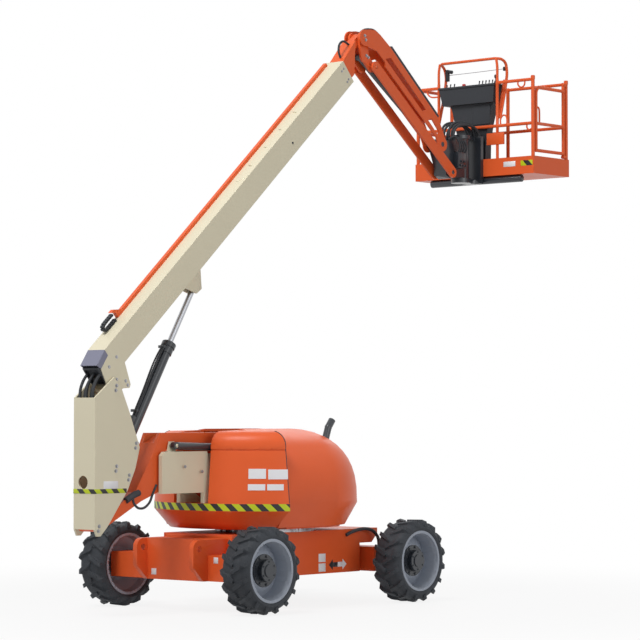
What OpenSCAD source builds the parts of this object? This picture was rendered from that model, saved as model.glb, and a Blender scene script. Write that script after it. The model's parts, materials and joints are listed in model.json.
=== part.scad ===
// Articulating boom lift: chassis, turntable, folding tower, telescopic boom, jib and platform.
// +X points forward (from the upright towards the platform), +Y left, +Z up.
// The origin lies on the floor under the swing axis.

/* [Wheels] */
// Distance between the front and rear wheel centres
wheelbase = 2480; // [2300:10:2700]
// Distance from the middle of the machine to the wheel's middle plane
wheel_y = 1040; // [1020:5:1120]
// Outer diameter of the tyre at the lug tips
tyre_d = 910; // [880:5:940]
// Width of the tyre
tyre_w = 350; // [320:5:370]
// Diameter of the rim where the tyre sits
rim_d = 636; // [600:2:660]
// Diameter of the drive hub in the wheel
hub_d = 230; // [200:5:280]
// Diameter of the wheel's spindle
spindle_d = 120; // [90:5:140]
// Distance from the middle of the machine to the king pin
king_pin_y = 780; // [740:5:800]

/* [Chassis] */
// Width of the chassis box
chassis_w = 1000; // [900:10:1040]
// Height of the chassis underside above the floor
chassis_z = 325; // [300:5:360]
// Height of the chassis top above the floor
chassis_top = 800; // [780:5:810]
// Gap from the front axle back to the full-height chassis box
front_gap = 210; // [180:10:420]
// How far the chassis reaches behind the rear axle
rear_reach = 220; // [180:10:260]
// Radius of the tie-down hole in each chassis lug
lug_hole_r = 33; // [20:1:45]
// Outer radius of each chassis lug
lug_r = 95; // [75:5:110]
// Height of the axle beams
axle_h = 270; // [220:10:280]
// Width of the axle beams, front to back
axle_w = 300; // [220:10:320]

/* [Turntable] */
// Radius of the turntable's tail about the swing axis
tail_r = 1217; // [1150:1:1230]
// Height of the swing bearing
bearing_h = 50; // [40:5:60]
// Diameter of the swing bearing
bearing_d = 1100; // [900:20:1200]
// Top of the pan, where the doors start
pan_top = 1130; // [1110:5:1150]
// Height of the pan's straight rim
rim_band = 80; // [60:5:120]
// How far the nose hood stands in from the tail's radius
nose_step = 267; // [250:1:320]
// Centre of the nose hood ahead of the swing axis
nose_x = 100; // [60:5:140]
// Height of the hoods
hood_top = 1930; // [1900:5:1960]
// Height of the crease along the nose hood
crease_z = 1110; // [1090:5:1140]
// Thickness of the hoods
hood_wall = 30; // [20:2:50]
// Half width of the slot between the hoods
slot_y = 250; // [230:5:280]
// Gap from the back of the tail to the seam between doors and nose hood
seam_step = 510; // [480:2:540]
// Gap at the seams
seam_gap = 8; // [5:1:12]

/* [Tower] */
// Tower foot pin, behind the swing axis
foot_x = 1514; // [1480:2:1540]
// Tower foot pin height
foot_z = 1524; // [1510:2:1540]
// Length of the lower tower boom between its pins
lower_len = 1960; // [1930:5:1980]
// Depth of the lower tower boom
lower_h = 300; // [260:5:310]
// Width of the tower booms
tower_w = 250; // [220:5:256]
// Height of the upper tower boom's pin at the elbow
elbow_z = 1795; // [1790:1:1810]
// Depth of the upper tower boom
upper_h = 170; // [150:5:180]
// Diameter of the main pins
pin_d = 70; // [50:2:80]
// Thickness of the side plates at the pins
plate_t = 22; // [16:1:26]

/* [Upright] */
// Width of the upright
upright_w = 310; // [306:2:320]
// Rear face of the upright, behind the swing axis
upright_back = 2770; // [2760:2:2790]
// Height of the upright's rear face
upright_top = 2245; // [2200:5:2280]
// Radius of the round hole in the upright's rear face
port_r = 68; // [40:2:70]

/* [Boom] */
// Angle of the boom above level
boom_angle = 41.5; // [38:0.5:45]
// Length of the base boom
boom_len = 5075; // [4975:5:5175]
// Width of the base boom
boom_w = 244; // [236:2:248]
// Depth of the base boom
boom_h = 287; // [280:1:300]
// Wall of the base and fly booms
boom_wall = 10; // [6:1:14]
// Room between the fly boom and the base boom
fly_room = 8; // [6:1:12]
// Distance from the boom's pin to the heel of the base boom
heel = 145; // [120:5:180]
// Height of the boom's axis above its pin
boom_rise = 222; // [214:1:230]
// Outer diameter of the main lift cylinder
lift_d = 120; // [100:5:130]
// Diameter of the main lift cylinder's rod
lift_rod_d = 62; // [50:2:72]

/* [Jib] */
// Length of the jib between its pins
jib_len = 1830; // [1780:5:1880]
// Angle of the jib below level
jib_angle = 37.6; // [34:0.2:41]
// Width of the jib arm
jib_w = 240; // [220:5:250]
// Depth of the jib arm
jib_h = 250; // [220:5:280]
// Depth of the level links under the jib
link_h = 130; // [100:5:150]
// Thickness of each level link
link_t = 24; // [16:1:28]

/* [Platform] */
// Depth of the platform, front to back
platform_d = 735; // [700:5:800]
// Width of the platform
platform_w = 1800; // [1780:10:1900]
// Gap from the rotator's axis to the platform's rear face
platform_gap = 253; // [245:1:300]
// Height of the platform's toe boards
toe_h = 210; // [180:5:240]
// Thickness of the tray
tray_t = 30; // [20:2:40]
// Height of the top rail above the tray's underside
rail_h = 1150; // [1100:10:1240]
// Diameter of the rails
rail_d = 38; // [30:1:44]
// Height of the guard loop above the top rail
loop_h = 285; // [240:5:320]

/* [Fits] */
// Room round each pin
pin_gap = 0.4; // [0.2:0.1:0.6]
// Gap between flat faces that slide on each other
slide_gap = 0.4; // [0.2:0.1:0.6]

/* [Hidden] */
$fn = 64;

orange = "#d9602f";
cream = "#ddd5ba";
black = "#2a2d31";
grey = "#9aa0a8";
rubber = "#33373c";

// Wheels and chassis
axle_x = wheelbase / 2;
tyre_r = tyre_d / 2;
chassis_front = axle_x - front_gap;
chassis_rear = axle_x + rear_reach;
rim_r = rim_d / 2;
lug_z = 665;
lug_x = -chassis_rear - 60;
lug_t = 60;
lug_y = 410;
bearing_z = chassis_top;
pan_z = bearing_z + bearing_h;
nose_r = tail_r - nose_step;
seam_x = tail_r - seam_step;

// Tower, points in the X-Z plane
foot = [-foot_x, foot_z];
elbow_low = foot + lower_len * [cos(1.8), -sin(1.8)];
elbow = [elbow_low.x + 150, elbow_z];
bend = [-1710, elbow_z];
tower_end = [-2685, 930];
tower_cyl_y = -195;
tower_cyl_eye = [-1640, 1745];
tower_rod_eye = [150, 1690];

// Upright, boom and lift cylinder
boom_pin = [-2472, 2365];
lift_foot = [-2168, 1768];
lift_eye_s = 1689;
lift_eye_n = -75;
function boom_dir() = [cos(boom_angle), sin(boom_angle)];
function boom_normal() = [-sin(boom_angle), cos(boom_angle)];
function on_boom(s, n) = boom_pin + s * boom_dir() + n * boom_normal();
lift_eye = on_boom(lift_eye_s, lift_eye_n);
boom_end = heel + boom_len;

// Jib and platform
jib_pin = on_boom(boom_end + 507, boom_rise + 112);
jib_dir = [cos(jib_angle), -sin(jib_angle)];
jib_end = jib_pin + jib_len * jib_dir;
link_offset = [165, -325];
link_top = jib_pin + link_offset;
link_end = jib_end + link_offset;
jib_cyl_eye = jib_pin + [40, -212];
jib_rod_eye = jib_pin + jib_dir * 1403 + [0, -60];
rotator_x = jib_end.x + 510;
platform_x = rotator_x + platform_gap;
tray_z = link_end.y - 10;
rail_top = tray_z + rail_h;

// Plate with its outline in the X-Z plane, between two Y values
module plate_xz(points, y0, y1) {
  translate([0, y1, 0]) rotate([90, 0, 0]) linear_extrude(y1 - y0) polygon(points);
}

// Round bar along Y at a point of the X-Z plane
module pin_y(p, d, y0, y1) {
  translate([p.x, y1, p.y]) rotate([90, 0, 0]) cylinder(d = d, h = y1 - y0);
}

// Outline of a strap with round ends between two points
function capsule(a, b, r) = let (turn = atan2(b.y - a.y, b.x - a.x), step = 180 / capsule_steps) concat(
  [for (i = [0:capsule_steps]) a + r * [cos(turn + 90 + i * step), sin(turn + 90 + i * step)]],
  [for (i = [0:capsule_steps]) b + r * [cos(turn - 90 + i * step), sin(turn - 90 + i * step)]]);
capsule_steps = 16;

// Flat strap with round ends between two points of the X-Z plane
module strap(a, b, h, y0, y1) {
  plate_xz(capsule(a, b, h / 2), y0, y1);
}

// Round tube between two points
module bar(a, b, d) {
  v = b - a;
  translate(a) rotate([0, acos(v.z / norm(v)), atan2(v.y, v.x)]) cylinder(d = d, h = norm(v));
}

// Tubes through a row of points, with a weld bead at each corner
joint_bead = 3;
module tube_path(points, d) {
  for (i = [0:len(points) - 2]) bar(points[i], points[i + 1], d);
  if (len(points) > 2) for (i = [1:len(points) - 2]) translate(points[i]) sphere(d = d + joint_bead);
}

// Moves along the boom's own axes, X along the boom and Z square to it
module on_boom_axes() {
  translate([boom_pin.x, 0, boom_pin.y]) rotate([0, -boom_angle, 0]) children();
}

// Turns a wheel's own axis, +Z outwards, onto its place
module wheel_place(x, side) {
  translate([x, side * wheel_y, tyre_r]) rotate([-90 * side, 0, 0]) children();
}

// Chassis
block_y = lug_y - lug_t / 2;
block_top = lug_z + lug_r;
box_rear = axle_x - axle_w / 2 - 10;
arm_z = chassis_z + axle_h + 45;
arm_front = axle_x + 100;
bite = 50;

module lug_plate(side) {
  y0 = side * lug_y - lug_t / 2;
  outline = [[lug_x, block_top], [bite - box_rear, block_top], [bite - box_rear, chassis_z], [-chassis_rear, chassis_z],
    [lug_x - lug_r, lug_z - 2 * lug_r], [lug_x - lug_r, lug_z]];
  plate_xz(outline, y0, y0 + lug_t);
  pin_y([lug_x, lug_z], 2 * lug_r, y0, y0 + lug_t);
}

module chassis_frame() {
  arm = [[chassis_front - bite, chassis_top], [arm_front, chassis_top], [arm_front, chassis_top - 60],
    [axle_x, arm_z], [chassis_front - bite, arm_z]];
  color(orange) difference() {
    union() {
      translate([-box_rear, -chassis_w / 2, chassis_z])
        cube([box_rear + chassis_front, chassis_w, chassis_top - chassis_z]);
      translate([-chassis_rear, -block_y, chassis_z])
        cube([chassis_rear - box_rear + bite, 2 * block_y, block_top - chassis_z]);
      plate_xz(arm, -chassis_w / 2, chassis_w / 2);
      for (side = [-1, 1]) lug_plate(side);
    }
    for (side = [-1, 1])
      pin_y([lug_x, lug_z], 2 * lug_hole_r, side * lug_y - lug_t, side * lug_y + lug_t);
  }
}

axle_end = wheel_y - 45;
spindle_end = wheel_y + 60;

module spindle(from_y, side) {
  y = [side * from_y, side * spindle_end];
  pin_y([0, tyre_r], spindle_d, min(y), max(y));
}

module rear_axle() {
  stub_in = lug_y + lug_t / 2;
  color(orange) for (side = [-1, 1]) translate([-axle_x, 0, 0]) {
    translate([-axle_w / 2, side > 0 ? stub_in : -axle_end, chassis_z])
      cube([axle_w, axle_end - stub_in, axle_h]);
    spindle(axle_end - 1, side);
  }
}

yoke_t = 30;
yoke_in = 640;
knuckle_h = 210;
knuckle_d = 150;
king_pin_d = 60;

module front_axle() {
  beam_w = axle_w - 40;
  color(orange) translate([axle_x, 0, 0]) {
    translate([-beam_w / 2, -yoke_in, chassis_z]) cube([beam_w, 2 * yoke_in, axle_h]);
    translate([chassis_front - axle_x, 0, chassis_z + axle_h / 2])
      rotate([0, 90, 0]) cylinder(d = 0.6 * axle_h, h = axle_x - chassis_front);
    for (side = [-1, 1]) translate([0, side * king_pin_y, tyre_r]) {
      for (level = [-1, 1]) translate([0, 0, level * (knuckle_h + yoke_t) / 2]) {
        cylinder(d = knuckle_d, h = yoke_t, center = true);
        translate([-knuckle_d / 2, side > 0 ? yoke_in - king_pin_y - 1 : 0, -yoke_t / 2])
          cube([knuckle_d, king_pin_y - yoke_in + 1, yoke_t]);
      }
      cylinder(d = king_pin_d, h = knuckle_h + yoke_t, center = true);
    }
  }
}

module knuckle(side) {
  color(orange) translate([axle_x, 0, 0]) difference() {
    union() {
      translate([0, side * king_pin_y, tyre_r])
        cylinder(d = knuckle_d, h = knuckle_h - 2 * slide_gap, center = true);
      spindle(king_pin_y, side);
    }
    translate([0, side * king_pin_y, tyre_r])
      cylinder(d = king_pin_d + 2 * pin_gap, h = knuckle_h, center = true);
  }
}

module swing_bearing() {
  color(grey) translate([0, 0, bearing_z]) cylinder(d = bearing_d, h = bearing_h - slide_gap);
}

// Wheels
bead = 16;
lip = tyre_w / 2 - 10;
lugs = 16;
lug_h = 26;
lug_w = 46;
lug_lean = 0.5;

// Half of the tyre's section, from the bead round to the middle of the tread
function tyre_half() = let (half = tyre_w / 2, inner = rim_r + slide_gap, carcass = tyre_r - lug_h)
  [[inner, lip - bead], [inner + bead, lip - bead], [inner + bead, half - 12], [inner + 45, half], [carcass - 60, half],
  [carcass - 18, half - 24], [carcass, half - 70]];

// One tread lug: a bar that leans over half of the tread and wraps the shoulder
module tyre_lug(lean) {
  half = tyre_w / 2;
  translate([tyre_r - lug_h - 15, 0, 0]) multmatrix([[1, 0, 0, 0], [0, 1, lean, 0], [0, 0, 1, 0]])
    rotate([90, 0, 0]) linear_extrude(lug_w, center = true)
      polygon([[0, -10], [lug_h + 12, -10], [lug_h + 12, half - 55], [lug_h - 8, half - 12], [-40, half + 1], [-40, half - 30]]);
}

module tyre(x, side) {
  half = tyre_half();
  back = [for (i = [len(half) - 1:-1:0]) [half[i].x, -half[i].y]];
  color(rubber) wheel_place(x, side) {
    rotate_extrude($fn = 48) polygon(concat(half, back));
    for (i = [0:lugs - 1]) {
      rotate([0, 0, i * 360 / lugs]) tyre_lug(-lug_lean);
      rotate([0, 0, (i + 0.5) * 360 / lugs]) mirror([0, 0, 1]) tyre_lug(-lug_lean);
    }
  }
}

barrel_t = 14;
disc_z = 20;
disc_t = 24;
hub_out = 120;

module rim(x, side) {
  outer = lip - slide_gap;
  section = [[spindle_d / 2 + pin_gap, disc_z], [hub_d / 2 + 60, disc_z], [rim_r - 60, disc_z - 60],
    [rim_r - barrel_t, disc_z - 90], [rim_r - barrel_t, -outer], [rim_r + bead - slide_gap, -outer],
    [rim_r + bead - slide_gap, -outer + bead - 2], [rim_r, -outer + bead - 2], [rim_r, outer - bead + 2],
    [rim_r + bead - slide_gap, outer - bead + 2], [rim_r + bead - slide_gap, outer], [rim_r - barrel_t, outer],
    [rim_r - barrel_t, outer - 35], [rim_r - barrel_t - 16, outer - 45], [rim_r - barrel_t - 16, disc_z - 80 + disc_t], [rim_r - 60, disc_z - 60 + disc_t],
    [hub_d / 2 + 60, disc_z + disc_t], [hub_d / 2, disc_z + disc_t], [hub_d / 2, hub_out],
    [0, hub_out], [0, spindle_end - wheel_y + slide_gap], [spindle_d / 2 + pin_gap, spindle_end - wheel_y + slide_gap]];
  color(grey) wheel_place(x, side) rotate_extrude($fn = 48) polygon(section);
}

// Turntable
deck_z = 1000;
deck_r = nose_r - 190;
deck_taper = 200;
nose_z = 870;
nose_tuck = 135;
nose_power = 2 / 2.6;
nose_steps = 12;

// Upper curve of the nose hood, from the crease to the crown, moved in by the wall
function nose_curve(wall) = [for (i = [0:nose_steps]) let (t = 90 * i / nose_steps)
  [(nose_r - wall) * pow(cos(t), nose_power), crease_z + (hood_top - wall - crease_z) * pow(sin(t), nose_power)]];

function nose_section(wall, low_z) = concat([[0, low_z], [nose_r - wall - nose_tuck
  * (crease_z - low_z) / (crease_z - nose_z), low_z]], nose_curve(wall));

module nose_form(wall, low_z) {
  section = nose_section(wall, low_z);
  translate([nose_x, 0, 0]) rotate_extrude() polygon(section);
  translate([-seam_x, 0, 0]) rotate([90, 0, 90]) linear_extrude(seam_x + nose_x) {
    polygon(section);
    mirror([1, 0]) polygon(section);
  }
}

module deck_form(grow, low_z, high_z) {
  translate([nose_x, 0, low_z]) cylinder(r = deck_r + grow, h = high_z - low_z, $fn = 180);
  half = deck_r + grow;
  translate([0, 0, low_z]) linear_extrude(high_z - low_z)
    polygon([[nose_x, -half], [nose_x, half], [deck_taper - seam_x, half], [-seam_x - 1, half - deck_taper],
      [-seam_x - 1, deck_taper - half], [deck_taper - seam_x, -half]]);
}

module turntable_base() {
  pan = [[0, pan_z], [tail_r - 170, pan_z], [tail_r, pan_top - rim_band], [tail_r, pan_top], [0, pan_top]];
  color(orange) {
    intersection() {
      rotate_extrude($fn = 180) polygon(pan);
      translate([-2 * tail_r, -tail_r, 0]) cube([2 * tail_r - seam_x - seam_gap, 2 * tail_r, 2 * pan_top]);
    }
    deck_form(0, pan_z, deck_z);
    translate([-seam_x - seam_gap - bite, deck_taper - deck_r, pan_z])
      cube([bite + seam_gap + 1, 2 * (deck_r - deck_taper), deck_z - pan_z]);
  }
}

engine_rear = 57 - seam_x;
engine_front = nose_x + nose_r - 450;
engine_in = slot_y + 50;
engine_out = nose_r - 330;
exhaust = [engine_front - 40, -engine_in - 100];
exhaust_d = 80;

module nose_hood() {
  color(orange) difference() {
    nose_form(0, nose_z);
    nose_form(hood_wall, deck_z);
    deck_form(slide_gap, 0, deck_z + 1);
    translate([-2 * tail_r, -slot_y, 0]) cube([4 * tail_r, 2 * slot_y, 2 * hood_top]);
    translate([-seam_x - tail_r, -tail_r, 0]) cube([tail_r, 2 * tail_r, 2 * hood_top]);
    translate([exhaust.x, exhaust.y, deck_z]) cylinder(d = exhaust_d + 4, h = hood_top);
  }
}

engine_top = 1450;

module engine_block() {
  color(black) translate([engine_rear, -engine_out, deck_z])
    cube([engine_front - engine_rear, engine_out - engine_in, engine_top - deck_z]);
}

module exhaust_pipe() {
  knee = [exhaust.x, exhaust.y, 1810];
  color(black) tube_path([[exhaust.x, exhaust.y, engine_top], knee, knee + [45, 0, 120], knee + [110, 0, 200]], exhaust_d);
}

shoulder_z = 1690;
door_lean = 45;
door_round = 160;
groove = 8;

function door_section(wall) = concat(
  [[0, pan_top + slide_gap], [tail_r - 2 - wall, pan_top + slide_gap], [tail_r - door_lean - wall, shoulder_z],
    [tail_r - door_lean - wall - groove, shoulder_z + 2], [tail_r - door_lean - wall - groove, shoulder_z + 12],
    [tail_r - door_lean - wall, shoulder_z + 14]],
  [for (t = [0:15:75]) [tail_r - door_lean - wall - door_round * (1 - cos(t)), hood_top - 30 - wall - door_round * (1 - sin(t))]],
  [[0, hood_top - wall]]);

module hood_door() {
  color(orange) difference() {
    intersection() {
      rotate_extrude($fn = 180) polygon(door_section(0));
      translate([-2 * tail_r, -2 * tail_r, 0]) cube([2 * tail_r - seam_x - seam_gap, 2 * tail_r - slot_y, 2 * hood_top]);
    }
    intersection() {
      translate([0, 0, -1]) rotate_extrude($fn = 180) polygon(door_section(hood_wall));
      translate([-2 * tail_r, -2 * tail_r, 0])
        cube([2 * tail_r, 2 * tail_r - slot_y - hood_wall, 2 * hood_top]);
    }
  }
}

// Tower
riser_in = 150;
riser_out = 200;
riser_top = 1684;
riser_end = -1835;
pin_bore = pin_d + 2 * pin_gap;
tower_half = tower_w / 2;

module tower_base() {
  outline = [[riser_end, 1245], [riser_end, riser_top - 40], [riser_end + 40, riser_top], [-1150, riser_top],
    [-1000, pan_top + 120], [-800, pan_top], [-1195, pan_top], [-1195, 1245]];
  color(cream) {
    for (side = [-1, 1]) plate_xz(outline, side > 0 ? riser_in : -riser_out, side > 0 ? riser_out : -riser_in);
    pin_y(foot, pin_d, -riser_in - 1, riser_in + 1);
    plate_xz([tower_cyl_eye + [-70, -80], tower_cyl_eye + [-40, 45], tower_cyl_eye + [40, 45], tower_cyl_eye + [70, -80]],
      -riser_in, -riser_in + 12);
    pin_y(tower_cyl_eye, 40, tower_cyl_y - 35, -riser_in + 1);
  }
}

module tower_lower() {
  span = elbow_low - foot;
  color(cream) difference() {
    union() {
      strap(foot, elbow_low, lower_h, -tower_half, tower_half);
      plate_xz([[tower_rod_eye.x - 160, 1560], tower_rod_eye + [-45, 45], tower_rod_eye + [45, 45],
        [tower_rod_eye.x + 160, 1560]], -tower_half - 20, -tower_half);
    }
    translate([foot.x, 0, foot.y]) rotate([0, -atan2(span.y, span.x), 0])
      translate([lower_h / 2, -tower_half + boom_wall, -lower_h / 2 + boom_wall])
        cube([norm(span) - lower_h, tower_w - 2 * boom_wall, lower_h - 2 * boom_wall]);
    for (p = [foot, elbow_low]) pin_y(p, pin_bore, -tower_w, tower_w);
  }
}

module mid_upright() {
  color(orange) {
    for (side = [-1, 1]) strap(elbow_low, elbow, 160, side > 0 ? riser_in : -riser_in - 40, side > 0 ? riser_in + 40 : -riser_in);
    for (p = [elbow_low, elbow]) pin_y(p, pin_d, -riser_in - 1, riser_in + 1);
  }
}

module tower_upper() {
  top = elbow_z + upper_h / 2;
  low = elbow_z - upper_h / 2;
  end_r = 55;
  back = bend.x - 80;
  trough_half = lift_d / 2 + 20;
  outline = [[elbow.x, top], [back, top], [back - 98, top - 205], [back - 371, top - 611],
    tower_end + end_r * [-0.7, 0.71], tower_end + end_r * [0.5, -0.86], [back - 277, top - 706],
    [back + 7, top - 606], [back + 7, top - 300], [back + 93, low], [elbow.x, low]];
  trough = [[back - 200, top - 105], [back - 40, top - 105], [back + 200, top + 1], [back - 200, top + 1]];
  color(orange) difference() {
    union() {
      plate_xz(outline, -tower_half, tower_half);
      pin_y(elbow, upper_h, -tower_half, tower_half);
      pin_y(tower_end, 2 * end_r, -tower_half, tower_half);
    }
    translate([bend.x + 100, -tower_half + boom_wall, low + boom_wall])
      cube([elbow.x - bend.x - 250, tower_w - 2 * boom_wall, upper_h - 2 * boom_wall]);
    plate_xz(trough, -trough_half, trough_half);
    for (p = [elbow, tower_end]) pin_y(p, pin_bore, -tower_w, tower_w);
  }
}

tower_barrel_d = 80;
tower_barrel_len = 1250;
tower_rod_d = 45;
tower_cyl_len = norm(tower_rod_eye - tower_cyl_eye);

module on_tower_cylinder() {
  span = tower_rod_eye - tower_cyl_eye;
  translate([tower_cyl_eye.x, tower_cyl_y, tower_cyl_eye.y]) rotate([0, -atan2(span.y, span.x), 0]) children();
}

module tower_cylinder() {
  color(black) on_tower_cylinder() difference() {
    union() {
      rotate([0, 90, 0]) cylinder(d = tower_barrel_d, h = tower_barrel_len);
      rotate([90, 0, 0]) cylinder(d = tower_barrel_d, h = 60, center = true);
    }
    rotate([90, 0, 0]) cylinder(d = 40 + 2 * pin_gap, h = tower_barrel_d, center = true);
    translate([300, 0, 0]) rotate([0, 90, 0]) cylinder(d = tower_rod_d + 2 * slide_gap, h = tower_barrel_len);
  }
}

module tower_rod() {
  color("silver") on_tower_cylinder() {
    translate([950, 0, 0]) rotate([0, 90, 0]) cylinder(d = tower_rod_d, h = tower_cyl_len - 950);
    translate([tower_cyl_len, 0, 0]) rotate([90, 0, 0]) cylinder(d = 70, h = 60, center = true);
  }
}

// Upright
module upright() {
  half = upright_w / 2;
  rear = -upright_back;
  side_outline = [[rear, 900], [rear, upright_top], [-2496, 2456], [-2389, 2337], [-2279, 2109], [-2121, 1729],
    [-2188, 1512], [-2297, 1294], [-2589, 925], [-2688, 832], [-2739, 832]];
  color(cream) difference() {
    union() {
      for (side = [-1, 1]) plate_xz(side_outline, side > 0 ? half - plate_t : -half, side > 0 ? half : plate_t - half);
      plate_xz([[rear, 900], [rear, upright_top], [rear + plate_t, upright_top], [rear + plate_t, 900]], -half, half);
      for (p = [boom_pin, lift_foot, tower_end]) pin_y(p, pin_d, -half, half);
    }
    translate([rear - plate_t, 20, 1380]) rotate([0, 90, 0]) cylinder(r = port_r, h = 3 * plate_t);
  }
}

// Boom
fly_w = boom_w - 2 * boom_wall - 2 * fly_room;
fly_h = boom_h - 2 * boom_wall - 2 * fly_room;
heel_plate_t = 24;
heel_over = 138;
cover_sit = 70;
cover_low = [heel - 167, boom_rise + 29];
cover_back = [heel - 189, boom_rise + 95];
rail_start = 670;
cover_wall = 12;

module boom_base() {
  half = boom_w / 2;
  heel_outline = [[-75, 40], cover_low - [0, 1], [heel, boom_rise + cover_sit - 1], [heel + 1, boom_rise + cover_sit],
    [heel + heel_over, boom_rise + boom_h / 2 - boom_wall], [heel + heel_over, boom_rise - boom_h / 2],
    [197, -148], [161, -165], [90, -110], [0, -80], [-60, -50]];
  ear = [[lift_eye_s - 170, boom_rise - boom_h / 2 + 1], [lift_eye_s - 50, lift_eye_n - 40],
    [lift_eye_s + 40, lift_eye_n - 50], [lift_eye_s + 190, boom_rise - boom_h / 2 + 1]];
  color(cream) on_boom_axes() difference() {
    union() {
      difference() {
        translate([heel, -half, boom_rise - boom_h / 2]) cube([boom_len, boom_w, boom_h]);
        translate([heel + 100, -half + boom_wall, boom_rise - boom_h / 2 + boom_wall])
          cube([boom_len - 200, boom_w - 2 * boom_wall, boom_h - 2 * boom_wall]);
        translate([boom_end - 150, -fly_w / 2 - slide_gap, boom_rise - fly_h / 2 - slide_gap])
          cube([200, fly_w + 2 * slide_gap, fly_h + 2 * slide_gap]);
      }
      for (side = [-1, 1]) {
        plate_xz(heel_outline, side > 0 ? half - heel_plate_t : -half, side > 0 ? half : heel_plate_t - half);
        plate_xz(ear, side > 0 ? 42 : -66, side > 0 ? 66 : -42);
      }
    }
    pin_y([0, 0], pin_bore, -boom_w, boom_w);
  }
}

module boom_rail() {
  top = boom_rise + boom_h / 2;
  flare = [[rail_start - 55, top + 105], [rail_start, top + 105], [rail_start + 90, top + 35], [boom_end - 60, top + 35],
    [boom_end - 60, top], [rail_start, top], [rail_start, top + 60]];
  color(orange) on_boom_axes() plate_xz(flare, boom_w / 2 - 50, boom_w / 2 - 5);
}

module boom_cover() {
  side = [cover_low, cover_back, [heel - slide_gap, boom_rise + boom_h / 2], [heel - slide_gap, boom_rise + cover_sit]];
  color(grey) on_boom_axes() difference() {
    plate_xz(side, -boom_w / 2, boom_w / 2);
    translate([0, 0, -cover_wall]) plate_xz(side, -boom_w / 2 + cover_wall, boom_w / 2 - cover_wall);
  }
}

lift_barrel_len = 1180;
lift_slide = 1320;
lift_len = norm(lift_eye - lift_foot);

module on_lift_cylinder() {
  span = lift_eye - lift_foot;
  translate([lift_foot.x, 0, lift_foot.y]) rotate([0, -atan2(span.y, span.x), 0]) children();
}

module lift_cylinder() {
  color(black) on_lift_cylinder() difference() {
    union() {
      rotate([0, 90, 0]) cylinder(d = lift_d, h = lift_barrel_len);
      translate([lift_barrel_len - 70, 0, 0]) rotate([0, 90, 0]) cylinder(d = lift_d + 20, h = 70);
      rotate([90, 0, 0]) cylinder(d = lift_d + 10, h = 110, center = true);
    }
    rotate([90, 0, 0]) cylinder(d = pin_bore, h = 2 * lift_d, center = true);
    translate([120, 0, 0]) rotate([0, 90, 0]) cylinder(d = lift_rod_d + 2 * slide_gap, h = lift_barrel_len);
  }
}

module lift_rod() {
  color("silver") on_lift_cylinder() {
    translate([lift_len - lift_slide, 0, 0]) rotate([0, 90, 0]) cylinder(d = lift_rod_d, h = lift_slide);
    translate([lift_len, 0, 0]) rotate([90, 0, 0]) cylinder(d = 70, h = 76, center = true);
  }
}

// Fly boom and jib
ear_half = 50;
ear_r = 48;
bracket_in = 56;
bracket_t = 30;
arm_t = 16;
nose_half = 98;

module fly_boom() {
  tip = [boom_end + 507, boom_rise + 112];
  nose = [[boom_end + 12, boom_rise - 105], [boom_end + 12, boom_rise + 130], [boom_end + 364, boom_rise + 177],
    [boom_end + 84, boom_rise - 105]];
  color(orange) on_boom_axes() {
    difference() {
      translate([heel + 300, -fly_w / 2, boom_rise - fly_h / 2]) cube([boom_len - 288, fly_w, fly_h]);
      translate([heel, -fly_w / 2 + boom_wall, boom_rise - fly_h / 2 + boom_wall])
        cube([boom_len, fly_w - 2 * boom_wall, fly_h - 2 * boom_wall]);
    }
    plate_xz(nose, -nose_half, nose_half);
    plate_xz([[boom_end + 300, boom_rise + 170], [boom_end + 300, boom_rise + 70], tip + [0, -ear_r], tip + [25, 45]],
      -ear_half, ear_half);
    pin_y(tip, 2 * ear_r, -ear_half, ear_half);
    pin_y(tip, pin_d, -jib_w / 2, jib_w / 2);
  }
}

module jib_bracket() {
  color(orange) {
    difference() {
      for (side = [-1, 1]) {
        y0 = side > 0 ? bracket_in : -bracket_in - bracket_t;
        strap(jib_pin, jib_cyl_eye, 140, y0, y0 + bracket_t);
        strap(jib_cyl_eye, link_top, 110, y0, y0 + bracket_t);
      }
      pin_y(jib_pin, pin_bore, -jib_w, jib_w);
    }
    pin_y(jib_cyl_eye, 45, -bracket_in - 1, bracket_in + 1);
    for (y = [-link_out, bracket_in]) pin_y(link_top, 50, y, y + link_out - bracket_in);
  }
}

link_in = jib_w / 2 + 6;
link_out = link_in + link_t;

module on_jib_axes() {
  translate([jib_pin.x, 0, jib_pin.y]) rotate([0, jib_angle, 0]) children();
}

module jib_arm() {
  half = jib_w / 2;
  side_outline = [[-60, 70], [10, jib_h - 108], [80, jib_h - 55], [180, jib_h - 32], [400, jib_h - 18],
    [jib_len - 250, jib_h - 60], [jib_len, 85], [jib_len, -85], [jib_len - 150, -15], [480, -15], [440, 25], [250, 25],
    [0, -95]];
  slot = [[420, 60], [1300, 50], [1340, 110], [480, 140]];
  slot_low = [[1450, 40], [1720, 25], [1700, 70], [1480, 100]];
  color(orange) on_jib_axes() difference() {
    union() {
      for (side = [-1, 1]) {
        y0 = side > 0 ? half - arm_t : -half;
        plate_xz(side_outline, y0, y0 + arm_t);
        pin_y([0, 0], 190, y0, y0 + arm_t);
        pin_y([jib_len, 0], 170, y0, y0 + arm_t);
      }
      plate_xz([[400, jib_h - 18], [jib_len - 250, jib_h - 60], [jib_len - 250, jib_h - 76], [400, jib_h - 34]], -half, half);
    }
    for (s = [slot, slot_low]) plate_xz(s, -jib_w, jib_w);
    for (s = [0, jib_len]) pin_y([s, 0], (s == 0 ? pin_d : 60) + 2 * pin_gap, -jib_w, jib_w);
  }
}

module jib_links() {
  color(orange) {
    for (side = [-1, 1]) difference() {
      strap(link_top, link_end, link_h, side > 0 ? link_in : -link_out, side > 0 ? link_out : -link_in);
      for (p = [link_top, link_end]) pin_y(p, 50 + 2 * pin_gap, -jib_w, jib_w);
    }
  }
}

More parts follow.
